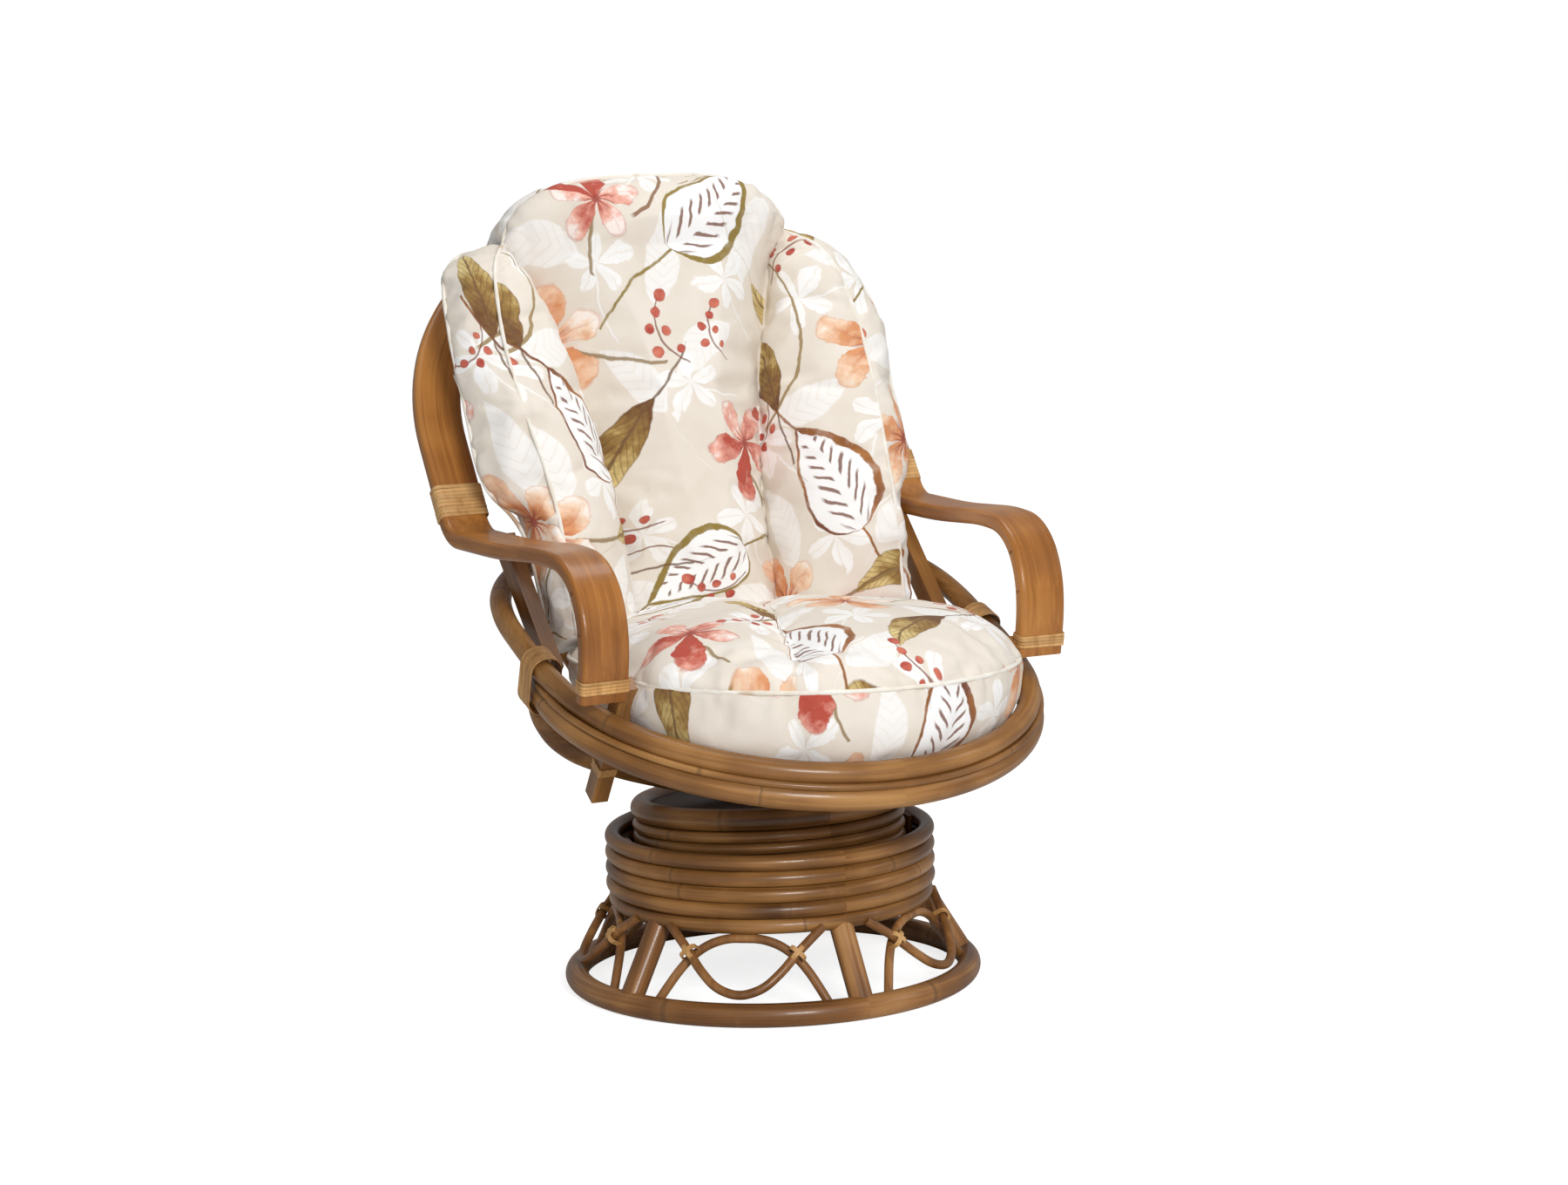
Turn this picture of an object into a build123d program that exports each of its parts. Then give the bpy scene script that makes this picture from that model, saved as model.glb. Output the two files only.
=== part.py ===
from build123d import *
import math
import os

os.makedirs("parts", exist_ok=True)

# ---------------------------------------------------------------- sizes, mm
# frame: origin on the floor on the swivel axis, the chair faces -Y, Z up
POLE_R = 15.0            # thick rattan poles
BASE_RING_R = 255.0      # centre-line radius of the floor ring
BASE_RING_Z = 14.6
LEG_ANGLES = (0, 72, -72, 144, -144)   # from the front, towards +X
DRUM_R = 203.4           # outer drum coils
DRUM_COIL_R = 10.0
DRUM_TOP_Z = 194.5
DRUM_PITCH = 20.1
DRUM_LAST_R = 200.0
CANE_R = 5.75            # lattice canes
PIVOT_Z = 200.0
TILT_BACK = -3.3         # inner drum and rocker plate lean back a little at rest
SEAT_TILT = 16.0         # the seat ring dips to the front
RING_R, RING_Y, RING_Z = 316.0, -56.0, 403.0
RING_BOTTOM_R, RING_TOP_R, RING_THIN_R = 16.0, 14.0, 4.5
RING_STEP = 29.8         # top coil above the bottom one, along the ring's normal
RING_STEP_IN = 5.8       # and that much inside it
BAND_W, BAND_T = 63.0, 21.0            # flat bent band of arms and back hoop
ARM_X = 335.0            # outer face of an arm at its front
ARM_TOE = 2.35           # arms open a little towards the back
HOOP_Y, HOOP_Z, HOOP_LEAN = 205.0, 610.0, 34.0
HOOP_HALF, HOOP_TOP, HOOP_CORNER = 351.0, 450.0, 320.0
SLEEVE = 1.6             # thickness of wrapped cane bindings


# ---------------------------------------------------------------- helpers
SINK = 0.0               # how far the pieces saved from here on stand below their drawing height


def save(name, shape):
    shape = Pos(0, 0, -SINK) * shape
    solids = shape.solids() if hasattr(shape, "solids") else [shape]
    shape = solids[0] if len(solids) == 1 else Compound(children=list(solids))
    export_step(shape, "parts/" + name + ".step")


def ring(R, r, z=0.0, y=0.0, tilt=0.0):
    return Pos(0, y, z) * Rot(tilt, 0, 0) * Torus(R, r)


def route(points, closed=False, grip=0.45, tight=None):
    """Straight runs joined by tangent arcs through the corner points."""
    P = [Vector(*p) for p in points]
    n = len(P)
    corners = range(n) if closed else range(1, n - 1)
    cut = {}
    for i in corners:
        a, b, c = P[i - 1], P[i], P[(i + 1) % n]
        u, v = (a - b), (c - b)
        la, lc = u.length, v.length
        u, v = u.normalized(), v.normalized()
        t = grip * min(la, lc)
        if tight and i in tight:
            t = tight[i]
        cosang = max(-1, min(1, u.dot(v)))
        turn = math.pi - math.acos(cosang)
        if turn < 1e-3:
            continue
        s, e = b + u * t, b + v * t
        radius = t / math.tan(turn / 2)
        bis = (u + v).normalized()
        centre = b + bis * (radius / math.cos(turn / 2))
        mid = centre - bis * radius
        cut[i] = (s, mid, e)
    edges = []
    order = list(range(n)) + ([0] if closed else [])
    for k in range(len(order) - 1):
        i, j = order[k], order[k + 1]
        start = cut[i][2] if i in cut else P[i]
        end = cut[j][0] if j in cut else P[j]
        if (end - start).length > 1e-4:
            edges.append(Edge.make_line(start, end))
        if j in cut:
            edges.append(Edge.make_three_point_arc(*cut[j]))
    return Wire(edges)


def tube(path, r):
    start = path @ 0
    direction = path % 0
    face = Plane(origin=start, z_dir=direction) * Circle(r)
    return sweep(face, path=path)


def lozenge(w, h, t, length, corner):
    """A closed band of outer size w+2t by h+2t round a w by h space, standing along Z."""
    outer = RectangleRounded(w + 2 * t, h + 2 * t, corner + t)
    inner = RectangleRounded(w, h, corner)
    return extrude(outer - inner, length / 2, both=True)


def around(obj, angle):
    return Rot(0, 0, angle) * obj


def mirror_x(obj):
    return mirror(obj, about=Plane.YZ)


# ---------------------------------------------------------------- base, fixed to the floor
base_ring = ring(BASE_RING_R, POLE_R, BASE_RING_Z) & Pos(0, 0, 50) * Box(700, 700, 100)
save("base_ring", base_ring)
base_torus = ring(BASE_RING_R, POLE_R, BASE_RING_Z)

coil_z = [DRUM_TOP_Z - i * DRUM_PITCH for i in range(5)]
coil_R = [DRUM_R, DRUM_R, DRUM_R, DRUM_R, DRUM_LAST_R]
outer_coils = [ring(R, DRUM_COIL_R, z) for R, z in zip(coil_R, coil_z)]
for i, c in enumerate(outer_coils):
    save("outer_drum_coil_%d" % (i + 1), c)

# slanted legs, coped on the floor ring and under the lowest coil
def pole(p, q, r):
    a, b = Vector(*p), Vector(*q)
    return Plane(origin=a, z_dir=(b - a)) * Cylinder(
        r, (b - a).length, align=(Align.CENTER, Align.CENTER, Align.MIN)
    )


leg = pole((0, -251, 16), (0, -194.5, 110), POLE_R)
leg = leg - base_torus - outer_coils[4] - outer_coils[3]
leg = max(leg.solids(), key=lambda s: s.volume)
save("base_legs", Compound(children=[around(leg, a) for a in LEG_ANGLES]))

# lattice canes: two opposed waves in every bay, the one outside the other
cone_n = (99 / 113.26, 55 / 113.26)


def on_cone(phi, z, off):
    R = 255 - (z - 15) * 55 / 99 + off * cone_n[0]
    zz = z + off * cone_n[1]
    a = math.radians(phi)
    return (R * math.sin(a), -R * math.cos(a), zz)


OFF = CANE_R + 0.35
wave_a = [on_cone(p, z, OFF) for p, z in (
    (-27.5, 108), (-22.5, 95), (-17.8, 81), (-13, 62), (-7, 42), (0, 33.6),
    (7, 42), (13, 62), (17.8, 81), (22.5, 95), (27.5, 108))]
wave_b = [on_cone(p, z, -OFF) for p, z in (
    (-27.0, 18), (-24.5, 40), (-21.5, 62), (-17.8, 80), (-12.5, 94), (-6, 101.5), (6, 101.5),
    (12.5, 94), (17.8, 80), (21.5, 62), (24.5, 40), (27.0, 18))]
cane_a = tube(route(wave_a), CANE_R) - outer_coils[4] - base_torus
cane_b = tube(route(wave_b), CANE_R) - base_torus - outer_coils[4]
cane_a = max(cane_a.solids(), key=lambda s: s.volume)
cane_b = max(cane_b.solids(), key=lambda s: s.volume)
BAYS = (36, -36, 108, -108, 180)
save("lattice_canes_outer", Compound(children=[around(cane_a, b) for b in BAYS]))
save("lattice_canes_inner", Compound(children=[around(cane_b, b) for b in BAYS]))


def knot(phi):
    """Two loops of peel, one over each diagonal of a crossing."""
    c = Vector(*on_cone(phi, 80.7, 0))
    a = math.radians(phi)
    normal = Vector(cone_n[0] * math.sin(a), -cone_n[0] * math.cos(a), cone_n[1])
    side = Vector(math.cos(a), math.sin(a), 0)
    pl = Plane(origin=c, x_dir=side, z_dir=normal)
    body = None
    for turn in (45, -45):
        loop = Rot(0, 0, turn) * Rot(90, 0, 0) * lozenge(21.0, 26.0, 1.5, 6.0, 6.0)
        body = loop if body is None else body + loop
    return pl * body


knots = []
for p in (-17.8, 17.8):
    k = knot(p) - cane_a - cane_b
    knots.append(max(k.solids(), key=lambda s: s.volume))
save("lattice_bindings", Compound(children=[around(k, b) for b in BAYS for k in knots]))

# staves and board inside the drum
STAVE_IN = 187.0
stave = Pos(0, -(STAVE_IN + 2.6), 160) * Box(22, 5.2, 76)
stave = stave & Cylinder(193.2, 400)
save("outer_drum_staves", Compound(children=[around(stave, 36 + 45 * k) for k in range(8)]))
# the board, the bearing and everything they carry are drawn 15 mm high and saved lower
SINK = 15.0
leg_tops = Compound(children=[Pos(0, 0, SINK) * around(leg, a) for a in LEG_ANGLES])
save("base_board", Pos(0, 0, 129) * Cylinder(186.6, 18) - leg_tops - Pos(0, 0, 129) * Cylinder(6.3, 30)
     - Compound(children=[Pos(62 * math.cos(math.radians(a)), 62 * math.sin(math.radians(a)), 129) * Cylinder(3.2, 30)
                          for a in (45, 135, 225, 315)]))
bolt = Pos(0, 0, 118) * Cylinder(6, 4) + Pos(0, 0, 131) * Cylinder(3.1, 22)
save("base_board_bolts", Compound(children=[around(Pos(0, -62, 0) * bolt, a) for a in (45, 135, 225, 315)]))

# swivel bearing
lower_plate = Pos(0, 0, 139.5) * (Cylinder(84, 3) - Cylinder(6.3, 10))
for a in (45, 135, 225, 315):
    lower_plate = lower_plate - Pos(62 * math.cos(math.radians(a)), 62 * math.sin(math.radians(a)), 139.5) * Cylinder(3.2, 10)
save("swivel_plate_lower", lower_plate)
save("bearing_balls", Compound(children=[
    Pos(44 * math.cos(math.radians(30 * k)), 44 * math.sin(math.radians(30 * k)), 145.5) * Sphere(4.4)
    for k in range(12)]))
cage = Pos(0, 0, 145.5) * (Cylinder(50, 2) - Cylinder(38, 4))
for k in range(12):
    cage = cage - Pos(44 * math.cos(math.radians(30 * k)), 44 * math.sin(math.radians(30 * k)), 145.5) * Cylinder(4.6, 6)
save("bearing_cage", cage)
save("king_bolt", Pos(0, 0, 116.9) * Cylinder(11, 6) + Pos(0, 0, 138) * Cylinder(6, 42)
     + Pos(0, 0, 158.3) * Cylinder(10.5, 6, align=(Align.CENTER, Align.CENTER, Align.CENTER)))

# ---------------------------------------------------------------- swivel carriage
upper_plate = Pos(0, 0, 151.5) * (Cylinder(84, 3) - Cylinder(6.05, 10))
save("swivel_plate_upper", upper_plate)


def bracket(x):
    web = Pos(x, 0, 0) * extrude(
        Plane.YZ * make_hull((Pos(0, PIVOT_Z) * Circle(16)).edges()
                             + (Pos(0, 159) * Rectangle(76, 12)).edges()), 2, both=True)
    foot = Pos(x + (10 if x > 0 else -10) * -1, 0, 155) * Box(24, 76, 4)
    return (web + foot) - Pos(x, 0, PIVOT_Z) * Rot(0, 90, 0) * Cylinder(6.0, 20)


save("rocker_bracket_left", bracket(-46))
save("rocker_bracket_right", bracket(46))
save("pivot_pin", Pos(0, 0, PIVOT_Z) * Rot(0, 90, 0) * (Cylinder(6.0, 104) + Pos(0, 0, 53.5) * Cylinder(9.5, 3) + Pos(0, 0, -53.5) * Cylinder(9.5, 3)))

# ---------------------------------------------------------------- rocking seat, lower part
S = Pos(0, 0, PIVOT_Z) * Rot(TILT_BACK, 0, 0)
lugs = Pos(0, 0, 34) * Box(128, 132, 4)
for x in (-38, 38):
    lug = Pos(x, 0, 0) * extrude(
        Plane.YZ * make_hull((Circle(14)).edges() + (Pos(0, 30) * Rectangle(60, 6)).edges()), 2.5, both=True)
    lugs = lugs + lug
lugs = lugs - Rot(0, 90, 0) * Cylinder(6.05, 200)
for x in (-52, 52):
    for y in (-54, 54):
        lugs = lugs - Pos(x, y, 34) * Cylinder(3.1, 10)
save("rocker_plate_upper", S * lugs)



def spring(height):
    """A beaded rubber spring column standing on the lower plate."""
    n = 5
    step = height / n
    pts = [(4, 0)]
    for k in range(n):
        z = k * step
        pts += [(13, z), (16, z + step * 0.3), (16, z + step * 0.7), (13, z + step)] if k == 0 else [
            (16, z + step * 0.3), (16, z + step * 0.7), (13, z + step)]
    pts += [(4, height), (4, 0)]
    return revolve(make_face(Plane.XZ * Polyline(*pts)), Axis.Z)


for nm, y, top in (("rocker_spring_front", -54, 233.9), ("rocker_spring_rear", 54, 227.8)):
    save(nm, Compound(children=[Pos(x, y, 153.1) * spring(top - 153.1) for x in (-17, 17)]))

BOARD = Pos(0, 0, 44.1) * Cylinder(149.6, 16)
for x in (-52, 52):
    for y in (-54, 54):
        BOARD = BOARD - Pos(x, y, 44.1) * Cylinder(3.1, 30)
save("seat_board", S * BOARD)
save("seat_board_bolts", S * Compound(children=[
    Pos(x, y, 0) * (Pos(0, 0, 42) * Cylinder(3.0, 20) + Pos(0, 0, 29.9) * Cylinder(6, 4.2))
    for x in (-52, 52) for y in (-54, 54)]))
inner = [(48.0, 164.0, 14.0), (26.9, 169.2, 7.4), (11.9, 169.2, 7.4), (-3.1, 169.2, 7.4)]
inner_coils = [S * ring(R, r, z) for z, R, r in inner]
for i, c in enumerate(inner_coils):
    save("inner_drum_coil_%d" % (i + 1), c)
istave = Pos(0, -158.4, 11.0) * Box(18, 5.4, 44) & Cylinder(161.5, 200)
save("inner_drum_staves", S * Compound(children=[around(istave, 30 + 60 * k) for k in range(6)]))

# ---------------------------------------------------------------- seat ring
Q = Pos(0, RING_Y, RING_Z) * Rot(SEAT_TILT, 0, 0)
ring_bottom = Q * Torus(RING_R, RING_BOTTOM_R)
D = math.hypot(RING_STEP, RING_STEP_IN)
ra, rb = RING_BOTTOM_R + RING_THIN_R + 0.15, RING_TOP_R + RING_THIN_R + 0.15
t_a = (ra * ra - rb * rb + D * D) / (2 * D)
t_h = math.sqrt(ra * ra - t_a * t_a)
ux, uz = -RING_STEP_IN / D, RING_STEP / D
thin_R = RING_R + ux * t_a + uz * t_h
thin_z = uz * t_a - ux * t_h
ring_thin = Q * Pos(0, 0, thin_z) * Torus(thin_R, RING_THIN_R)
ring_thin = ring_thin & (Pos(0, -498, 400) * Box(1000, 1000, 800))
save("seat_ring_bottom_coil", ring_bottom)

# top coil: round the front in the ring's plane, then lifted off the sides as the lumbar hoop
s16, c16 = math.sin(math.radians(SEAT_TILT)), math.cos(math.radians(SEAT_TILT))
TOP_R = RING_R - RING_STEP_IN


def on_ring(phi, R, h):
    a = math.radians(phi)
    x, y = R * math.sin(a), -R * math.cos(a)
    return (x, RING_Y + y * c16 - h * s16, RING_Z + y * s16 + h * c16)


front = [on_ring(p, TOP_R / math.cos(math.radians(7.45)), RING_STEP) for p in (-67.05, -52.15, -37.25, -22.35, -7.45, 7.45, 22.35, 37.25, 52.15, 67.05)]
side = [(309.0, -98, RING_Z + RING_STEP * c16 + (-98 + 64.2) * 0.2867 + 0.6), (315.0, -45, 441.5), (317.0, 0, 457.0), (318.0, 45, 477),
        (315, 105, 499), (296, 170, 522), (252, 224, 541), (180, 262, 555), (92, 281, 562), (0, 286, 564)]
loop = front + side[:-1] + [side[-1]] + [(-x, y, z) for x, y, z in reversed(side[:-1])]
top_path = route(loop, closed=True, grip=0.49)
ring_top = tube(top_path, RING_TOP_R)
ring_top = ring_top.solids()[0]
save("seat_ring_top_hoop", ring_top)
ring_thin = ring_thin - ring_top
ring_thin = max(ring_thin.solids(), key=lambda s: s.volume)
save("seat_ring_thin_coil", ring_thin)

# ---------------------------------------------------------------- arms
def offset_line(pts, d):
    """Points moved to the left of travel by d, mitred."""
    out = []
    for i, (y, z) in enumerate(pts):
        a = pts[max(i - 1, 0)]
        b = pts[min(i + 1, len(pts) - 1)]
        n = []
        for p, q in ((a, pts[i]), (pts[i], b)):
            L = math.hypot(q[0] - p[0], q[1] - p[1])
            if L > 1e-9:
                n.append((-(q[1] - p[1]) / L, (q[0] - p[0]) / L))
        if len(n) == 1:
            out.append((y + n[0][0] * d, z + n[0][1] * d))
        else:
            mx, mz = n[0][0] + n[1][0], n[0][1] + n[1][1]
            k = 2 * d / (mx * mx + mz * mz)
            out.append((y + mx * k, z + mz * k))
    return out


lean = math.radians(HOOP_LEAN)
up = (math.sin(lean), math.cos(lean))
fwd = (-math.cos(lean), math.sin(lean))
SPLICE = 34.0
# centre-line of the band, from its splice with the back hoop to its foot at the ring
half = BAND_T / 2

# ---------------------------------------------------------------- back hoop
H = Plane(origin=(0, HOOP_Y, HOOP_Z), x_dir=(1, 0, 0), z_dir=(0, -math.cos(lean), math.sin(lean)))


def arch(halfwidth, top, corner, bottom):
    cx, cz = halfwidth - corner, top - corner
    a = math.radians(45)
    l1 = Line((-halfwidth, bottom), (-halfwidth, cz))
    l2 = ThreePointArc((-halfwidth, cz), (-cx - corner * math.sin(a), cz + corner * math.cos(a)), (-cx, top))
    l3 = Line((-cx, top), (cx, top))
    l4 = ThreePointArc((cx, top), (cx + corner * math.sin(a), cz + corner * math.cos(a)), (halfwidth, cz))
    l5 = Line((halfwidth, cz), (halfwidth, bottom))
    l6 = Line((halfwidth, bottom), (-halfwidth, bottom))
    return make_face([l1, l2, l3, l4, l5, l6])


flat = arch(HOOP_HALF, HOOP_TOP, HOOP_CORNER, SPLICE + 0.2) - arch(
    HOOP_HALF - BAND_W, HOOP_TOP - BAND_W, HOOP_CORNER - BAND_W, SPLICE - 20)
hoop = extrude(flat, -BAND_T)
long_edges = [e for e in hoop.edges() if abs(e.center().Z) < 1e-6 or abs(e.center().Z + BAND_T) < 1e-6]
long_edges = [e for e in long_edges if not (abs(e.center().Y - SPLICE - 0.2) < 1e-3)]
hoop = fillet(long_edges, 6.5)
hoop = (H * hoop).solids()[0]
save("back_hoop", hoop)


# ---------------------------------------------------------------- arm band
outer_path = [
    (HOOP_Y + up[0] * SPLICE, HOOP_Z + up[1] * SPLICE),
    (202.0, 605.5), (60, 604.5), (-72, 612.5), (-150, 606), (-190, 548), (-195, 492), (-183, 432)]
# the foot stops above the ring's top coil
centre_line = offset_line(outer_path, half)
arm_path = route([(0, y, z) for y, z in centre_line], grip=0.48, tight={1: 26.5, 2: 40, 3: 30, 4: 38, 5: 28, 6: 26})
section = Plane(origin=arm_path @ 0, x_dir=(1, 0, 0), z_dir=arm_path % 0) * RectangleRounded(BAND_W, BAND_T, 6.5)
band = sweep(section, path=arm_path).solids()[0]
post_line = [Vector(0, -174, 452), Vector(0, -66, 293)]
pdir = (post_line[1] - post_line[0])
stub = Plane(origin=post_line[0], x_dir=(1, 0, 0), z_dir=pdir) * Box(
    22, 23, pdir.length, align=(Align.CENTER, Align.CENTER, Align.MIN))
stub = chamfer(stub.faces().sort_by(Axis.Z)[0].edges(), 3)


def place_arm(obj, side_x):
    """An object modelled about x = 0 on the band's middle goes to its arm."""
    x = side_x * (ARM_X - BAND_W / 2)
    pivot = Pos(x, -190, 0)
    return pivot * Rot(0, 0, -side_x * ARM_TOE) * Pos(0, 190, 0) * obj


arm_right = place_arm(band, 1)
arm_right = arm_right - ring_top - ring_bottom - ring_thin - hoop
arm_right = max(arm_right.solids(), key=lambda s: s.volume)
arm_left = mirror_x(arm_right)
save("arm_right", arm_right)
save("arm_left", arm_left)
stub_right = Pos(270.5, 0, 0) * stub - ring_top - ring_bottom - arm_right
stub_right = max(stub_right.solids(), key=lambda s: s.volume)
save("arm_stub_right", stub_right)
save("arm_stub_left", mirror_x(stub_right))

# rear posts, from the armrest's root to the inside of the seat ring
pa, pb = Vector(0, 176, 592), Vector(0, 28, 438)
post = Plane(origin=pa, x_dir=(1, 0, 0), z_dir=(pb - pa)) * Box(
    20, 30, (pb - pa).length, align=(Align.CENTER, Align.CENTER, Align.MIN))
post = Pos(282, 0, 0) * post - arm_right - ring_top - ring_bottom - ring_thin
post = max(post.solids(), key=lambda s: s.volume)
save("rear_post_right", post)
save("rear_post_left", mirror_x(post))

# spindles between the lumbar hoop and the back hoop
spindles = []
for x in (-174, -116, -58, 0, 58, 116, 174):
    zt = HOOP_TOP - BAND_W + 4 if abs(x) < 60 else (HOOP_TOP - HOOP_CORNER) + math.sqrt((HOOP_CORNER - BAND_W) ** 2 - (abs(x) - 31) ** 2) + 4
    yb = 286 - (abs(x) / 180) ** 2 * 24
    zb = 564 - (abs(x) / 180) ** 2 * 9
    a = Vector(x, yb, zb)
    b = Vector(x, HOOP_Y + up[0] * zt - fwd[0] * 10, HOOP_Z + up[1] * zt - fwd[1] * 10)
    sp = pole(tuple(a), tuple(b), 6.0) - hoop - ring_top
    spindles.append(max(sp.solids(), key=lambda s: s.volume))
save("back_spindles", Compound(children=spindles))

# ---------------------------------------------------------------- under-seat cradles
cradle_pts = [(-301, 410), (-297, 384), (-281, 356), (-254, 334), (-218, 317), (-178, 302), (-130, 287), (-70, 272.5), (0, 268.6)]
cradle_pts = cradle_pts + [(-x, z) for x, z in reversed(cradle_pts[:-1])]
cradle = tube(route([(x, 36, z) for x, z in cradle_pts]), POLE_R) - ring_bottom - S * BOARD - inner_coils[0]
cradle = max(cradle.solids(), key=lambda s: s.volume)
save("under_seat_cradle", cradle)
long_pts = [(-192, 284.3), (-130, 284.9), (-60, 290.5), (20, 298.5), (90, 306), (160, 336), (212, 390), (238, 452)]
rail = tube(route([(0, y, z) for y, z in long_pts]), 13.0) - ring_bottom - cradle - inner_coils[0]
rail = max(rail.solids(), key=lambda s: s.volume)
save("under_seat_rail", rail)

# decking canes, bowed down into a shallow dish that hangs in the ring
DISH_R = 890.0
DISH_H = 3 - 58 + DISH_R
deck = []
for x in (-225, -150, -75, 0, 75, 150, 225):
    arc_r = math.sqrt((DISH_R + 7) ** 2 - x * x)
    reach = math.sqrt((RING_R + 4) ** 2 - x * x)
    ends = [(x, y, DISH_H - math.sqrt(arc_r ** 2 - y * y)) for y in (-reach, 0, reach)]
    bar = Q * tube(Wire([ThreePointArc(*ends)]), 6.0) - ring_bottom - ring_top
    deck.append(max(bar.solids(), key=lambda s: s.volume))
save("seat_deck_canes", Compound(children=deck))

# ---------------------------------------------------------------- bindings of split cane
def side_binding(sign):
    pl = Plane(origin=(314.0, -3, 436.2), x_dir=(1, 0, 0), z_dir=(0, math.cos(math.radians(19)), math.sin(math.radians(19))))
    return pl * lozenge(39.0, 76.0, SLEEVE, 36, 16)


bind = side_binding(1) - cradle - stub_right - ring_bottom - ring_top - ring_thin
save("ring_binding_right", max(bind.solids(), key=lambda s: s.volume))
save("ring_binding_left", mirror_x(max(bind.solids(), key=lambda s: s.volume)))

mid = 39.0
pl = Plane(origin=(0, HOOP_Y + up[0] * mid + math.cos(lean) * half, HOOP_Z + up[1] * mid - math.sin(lean) * half),
           x_dir=(1, 0, 0), z_dir=(0, up[0], up[1]))
hb = Pos(HOOP_HALF - BAND_W / 2, 0, 0) * pl * lozenge(BAND_W + 1.6, BAND_T + 0.5, SLEEVE, 46, 6.6)
hb = hb - arm_right - hoop
hb = max(hb.solids(), key=lambda s: s.volume)
save("hoop_binding_right", hb)
save("hoop_binding_left", mirror_x(hb))

foot_dir = Vector(0, centre_line[-1][0] - centre_line[-2][0], centre_line[-1][1] - centre_line[-2][1]).normalized()
fc = Vector(0, centre_line[-1][0], centre_line[-1][1]) - foot_dir * 20
fb = place_arm(Plane(origin=fc, x_dir=(1, 0, 0), z_dir=foot_dir) * lozenge(BAND_W + 0.4, BAND_T + 0.4, SLEEVE, 16, 6.6), 1)
fb = fb - arm_right - stub_right - ring_top
fb = max(fb.solids(), key=lambda s: s.volume)
save("arm_foot_binding_right", fb)
save("arm_foot_binding_left", mirror_x(fb))

sc = post_line[0] + pdir * 0.72
sb = Pos(270.5, 0, 0) * Plane(origin=sc, x_dir=(1, 0, 0), z_dir=pdir) * lozenge(22.3, 23.3, SLEEVE, 12, 1.5) - ring_bottom - stub_right
sb = max(sb.solids(), key=lambda s: s.volume)
save("stub_lashing_right", sb)
save("stub_lashing_left", mirror_x(sb))

# ---------------------------------------------------------------- cushions, plain solids
def dome(grow):
    """The round seat pad: a domed top, a belly below its welt."""
    g = grow
    side = [(0, 514 + g), (60, 513.2 + g), (100, 510.5 + g), (140, 506 + g), (180, 499.5 + g), (215, 490.5 + g), (245, 479.5 + g),
            (268, 466 + g), (282 + g * .7, 452 + g * .7), (287 + g, 437), (286 + g, 420), (280 + g, 398), (268 + g, 370), (250 + g, 340)]
    skin = Spline(*side[::2], side[-1], tangents=[(1, 0), (-0.3, -1)])
    face = make_face([Plane.XZ * skin, Plane.XZ * Polyline(side[-1], (250 + g, 280), (0, 280), (0, 514 + g))])
    return Pos(0, -78, 0) * revolve(face, Axis.Z)


seat = dome(0) & (Q * Pos(0, 0, DISH_H) * Sphere(DISH_R))
seat = seat & Pos(0, 0, 500) * Box(506, 900, 1400)
seat = seat - (Q * Pos(0, 0, 12) * (Cylinder(400, 90) - Cylinder(293, 110)))
seat = seat - ring_top - ring_bottom
seat = max(seat.solids(), key=lambda s: s.volume)
save("seat_cushion", seat)

# the back pad: a middle panel with a wing on each side, turned forward
bl = math.radians(21.0)
B = Plane(origin=(0, 252, 575), x_dir=(1, 0, 0), z_dir=(0, -math.cos(bl), math.sin(bl)))
slope = (0, math.sin(bl), math.cos(bl))
# up the slope: rear edge of a wing, front edge of a wing, sewn channel, crown of the middle (across, out)
rows = [(-135, (262, 112), (241, 150), (110, 60), (0, 92)), (-20, (268, 116), (240, 167), (112, 62), (0, 100)),
        (74, (296, 101), (245, 163), (122, 66), (0, 106)), (162, (311, 94), (254, 151), (136, 70), (0, 110)),
        (247, (314, 92), (258, 135), (158, 72), (0, 110)), (343, (298, 62), (250, 122), (184, 74), (0, 110)), (478, (262, 20), (232, 102), (190, 98), (0, 106))]
faces = []
for t, e, f, c, m in rows:
    flat_at = Plane(origin=(0, 252 + t * slope[1], 575 + t * slope[2]), x_dir=(1, 0, 0), z_dir=slope)
    half_at = [e, f, c, m]
    pts = [(x, -n) for x, n in half_at] + [(-x, -n) for x, n in (c, f, e)] + [(-128, -1), (128, -1), (e[0], -e[1])]
    faces.append(make_face(flat_at * Polyline(*pts)))
back = loft(faces, ruled=True)
side = [(320, 247), (314, 300), (299, 340), (262, 382), (224, 408), (204, 424), (182, 440), (152, 453), (110, 463), (50, 469), (0, 470)]
edge = [(320, -160)] + side + [(-x, t) for x, t in reversed(side[:-1])] + [(-320, -160), (320, -160)]
back = back & (B * Pos(0, 0, -10) * extrude(make_face(Polyline(*edge)), 260))
back = back - dome(1.5)
back = back - Pos(0, 100, 467) * Rot(7, 0, 0) * Pos(0, 0, -200) * Box(900, 900, 400)
back = back - Q * Torus(RING_R, RING_BOTTOM_R + 1.5)
post_room = Plane(origin=pa, x_dir=(1, 0, 0), z_dir=(pb - pa)) * Box(23, 33, (pb - pa).length, align=(Align.CENTER, Align.CENTER, Align.MIN))
back = back - Pos(282, 0, 0) * post_room - Pos(-282, 0, 0) * post_room
back = back - tube(top_path, RING_TOP_R + 1.5)
back = max(back.solids(), key=lambda s: s.volume)
save("back_cushion", back)
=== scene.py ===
import math

import bmesh
import bpy
import numpy as np
from mathutils import Matrix, Vector


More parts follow.
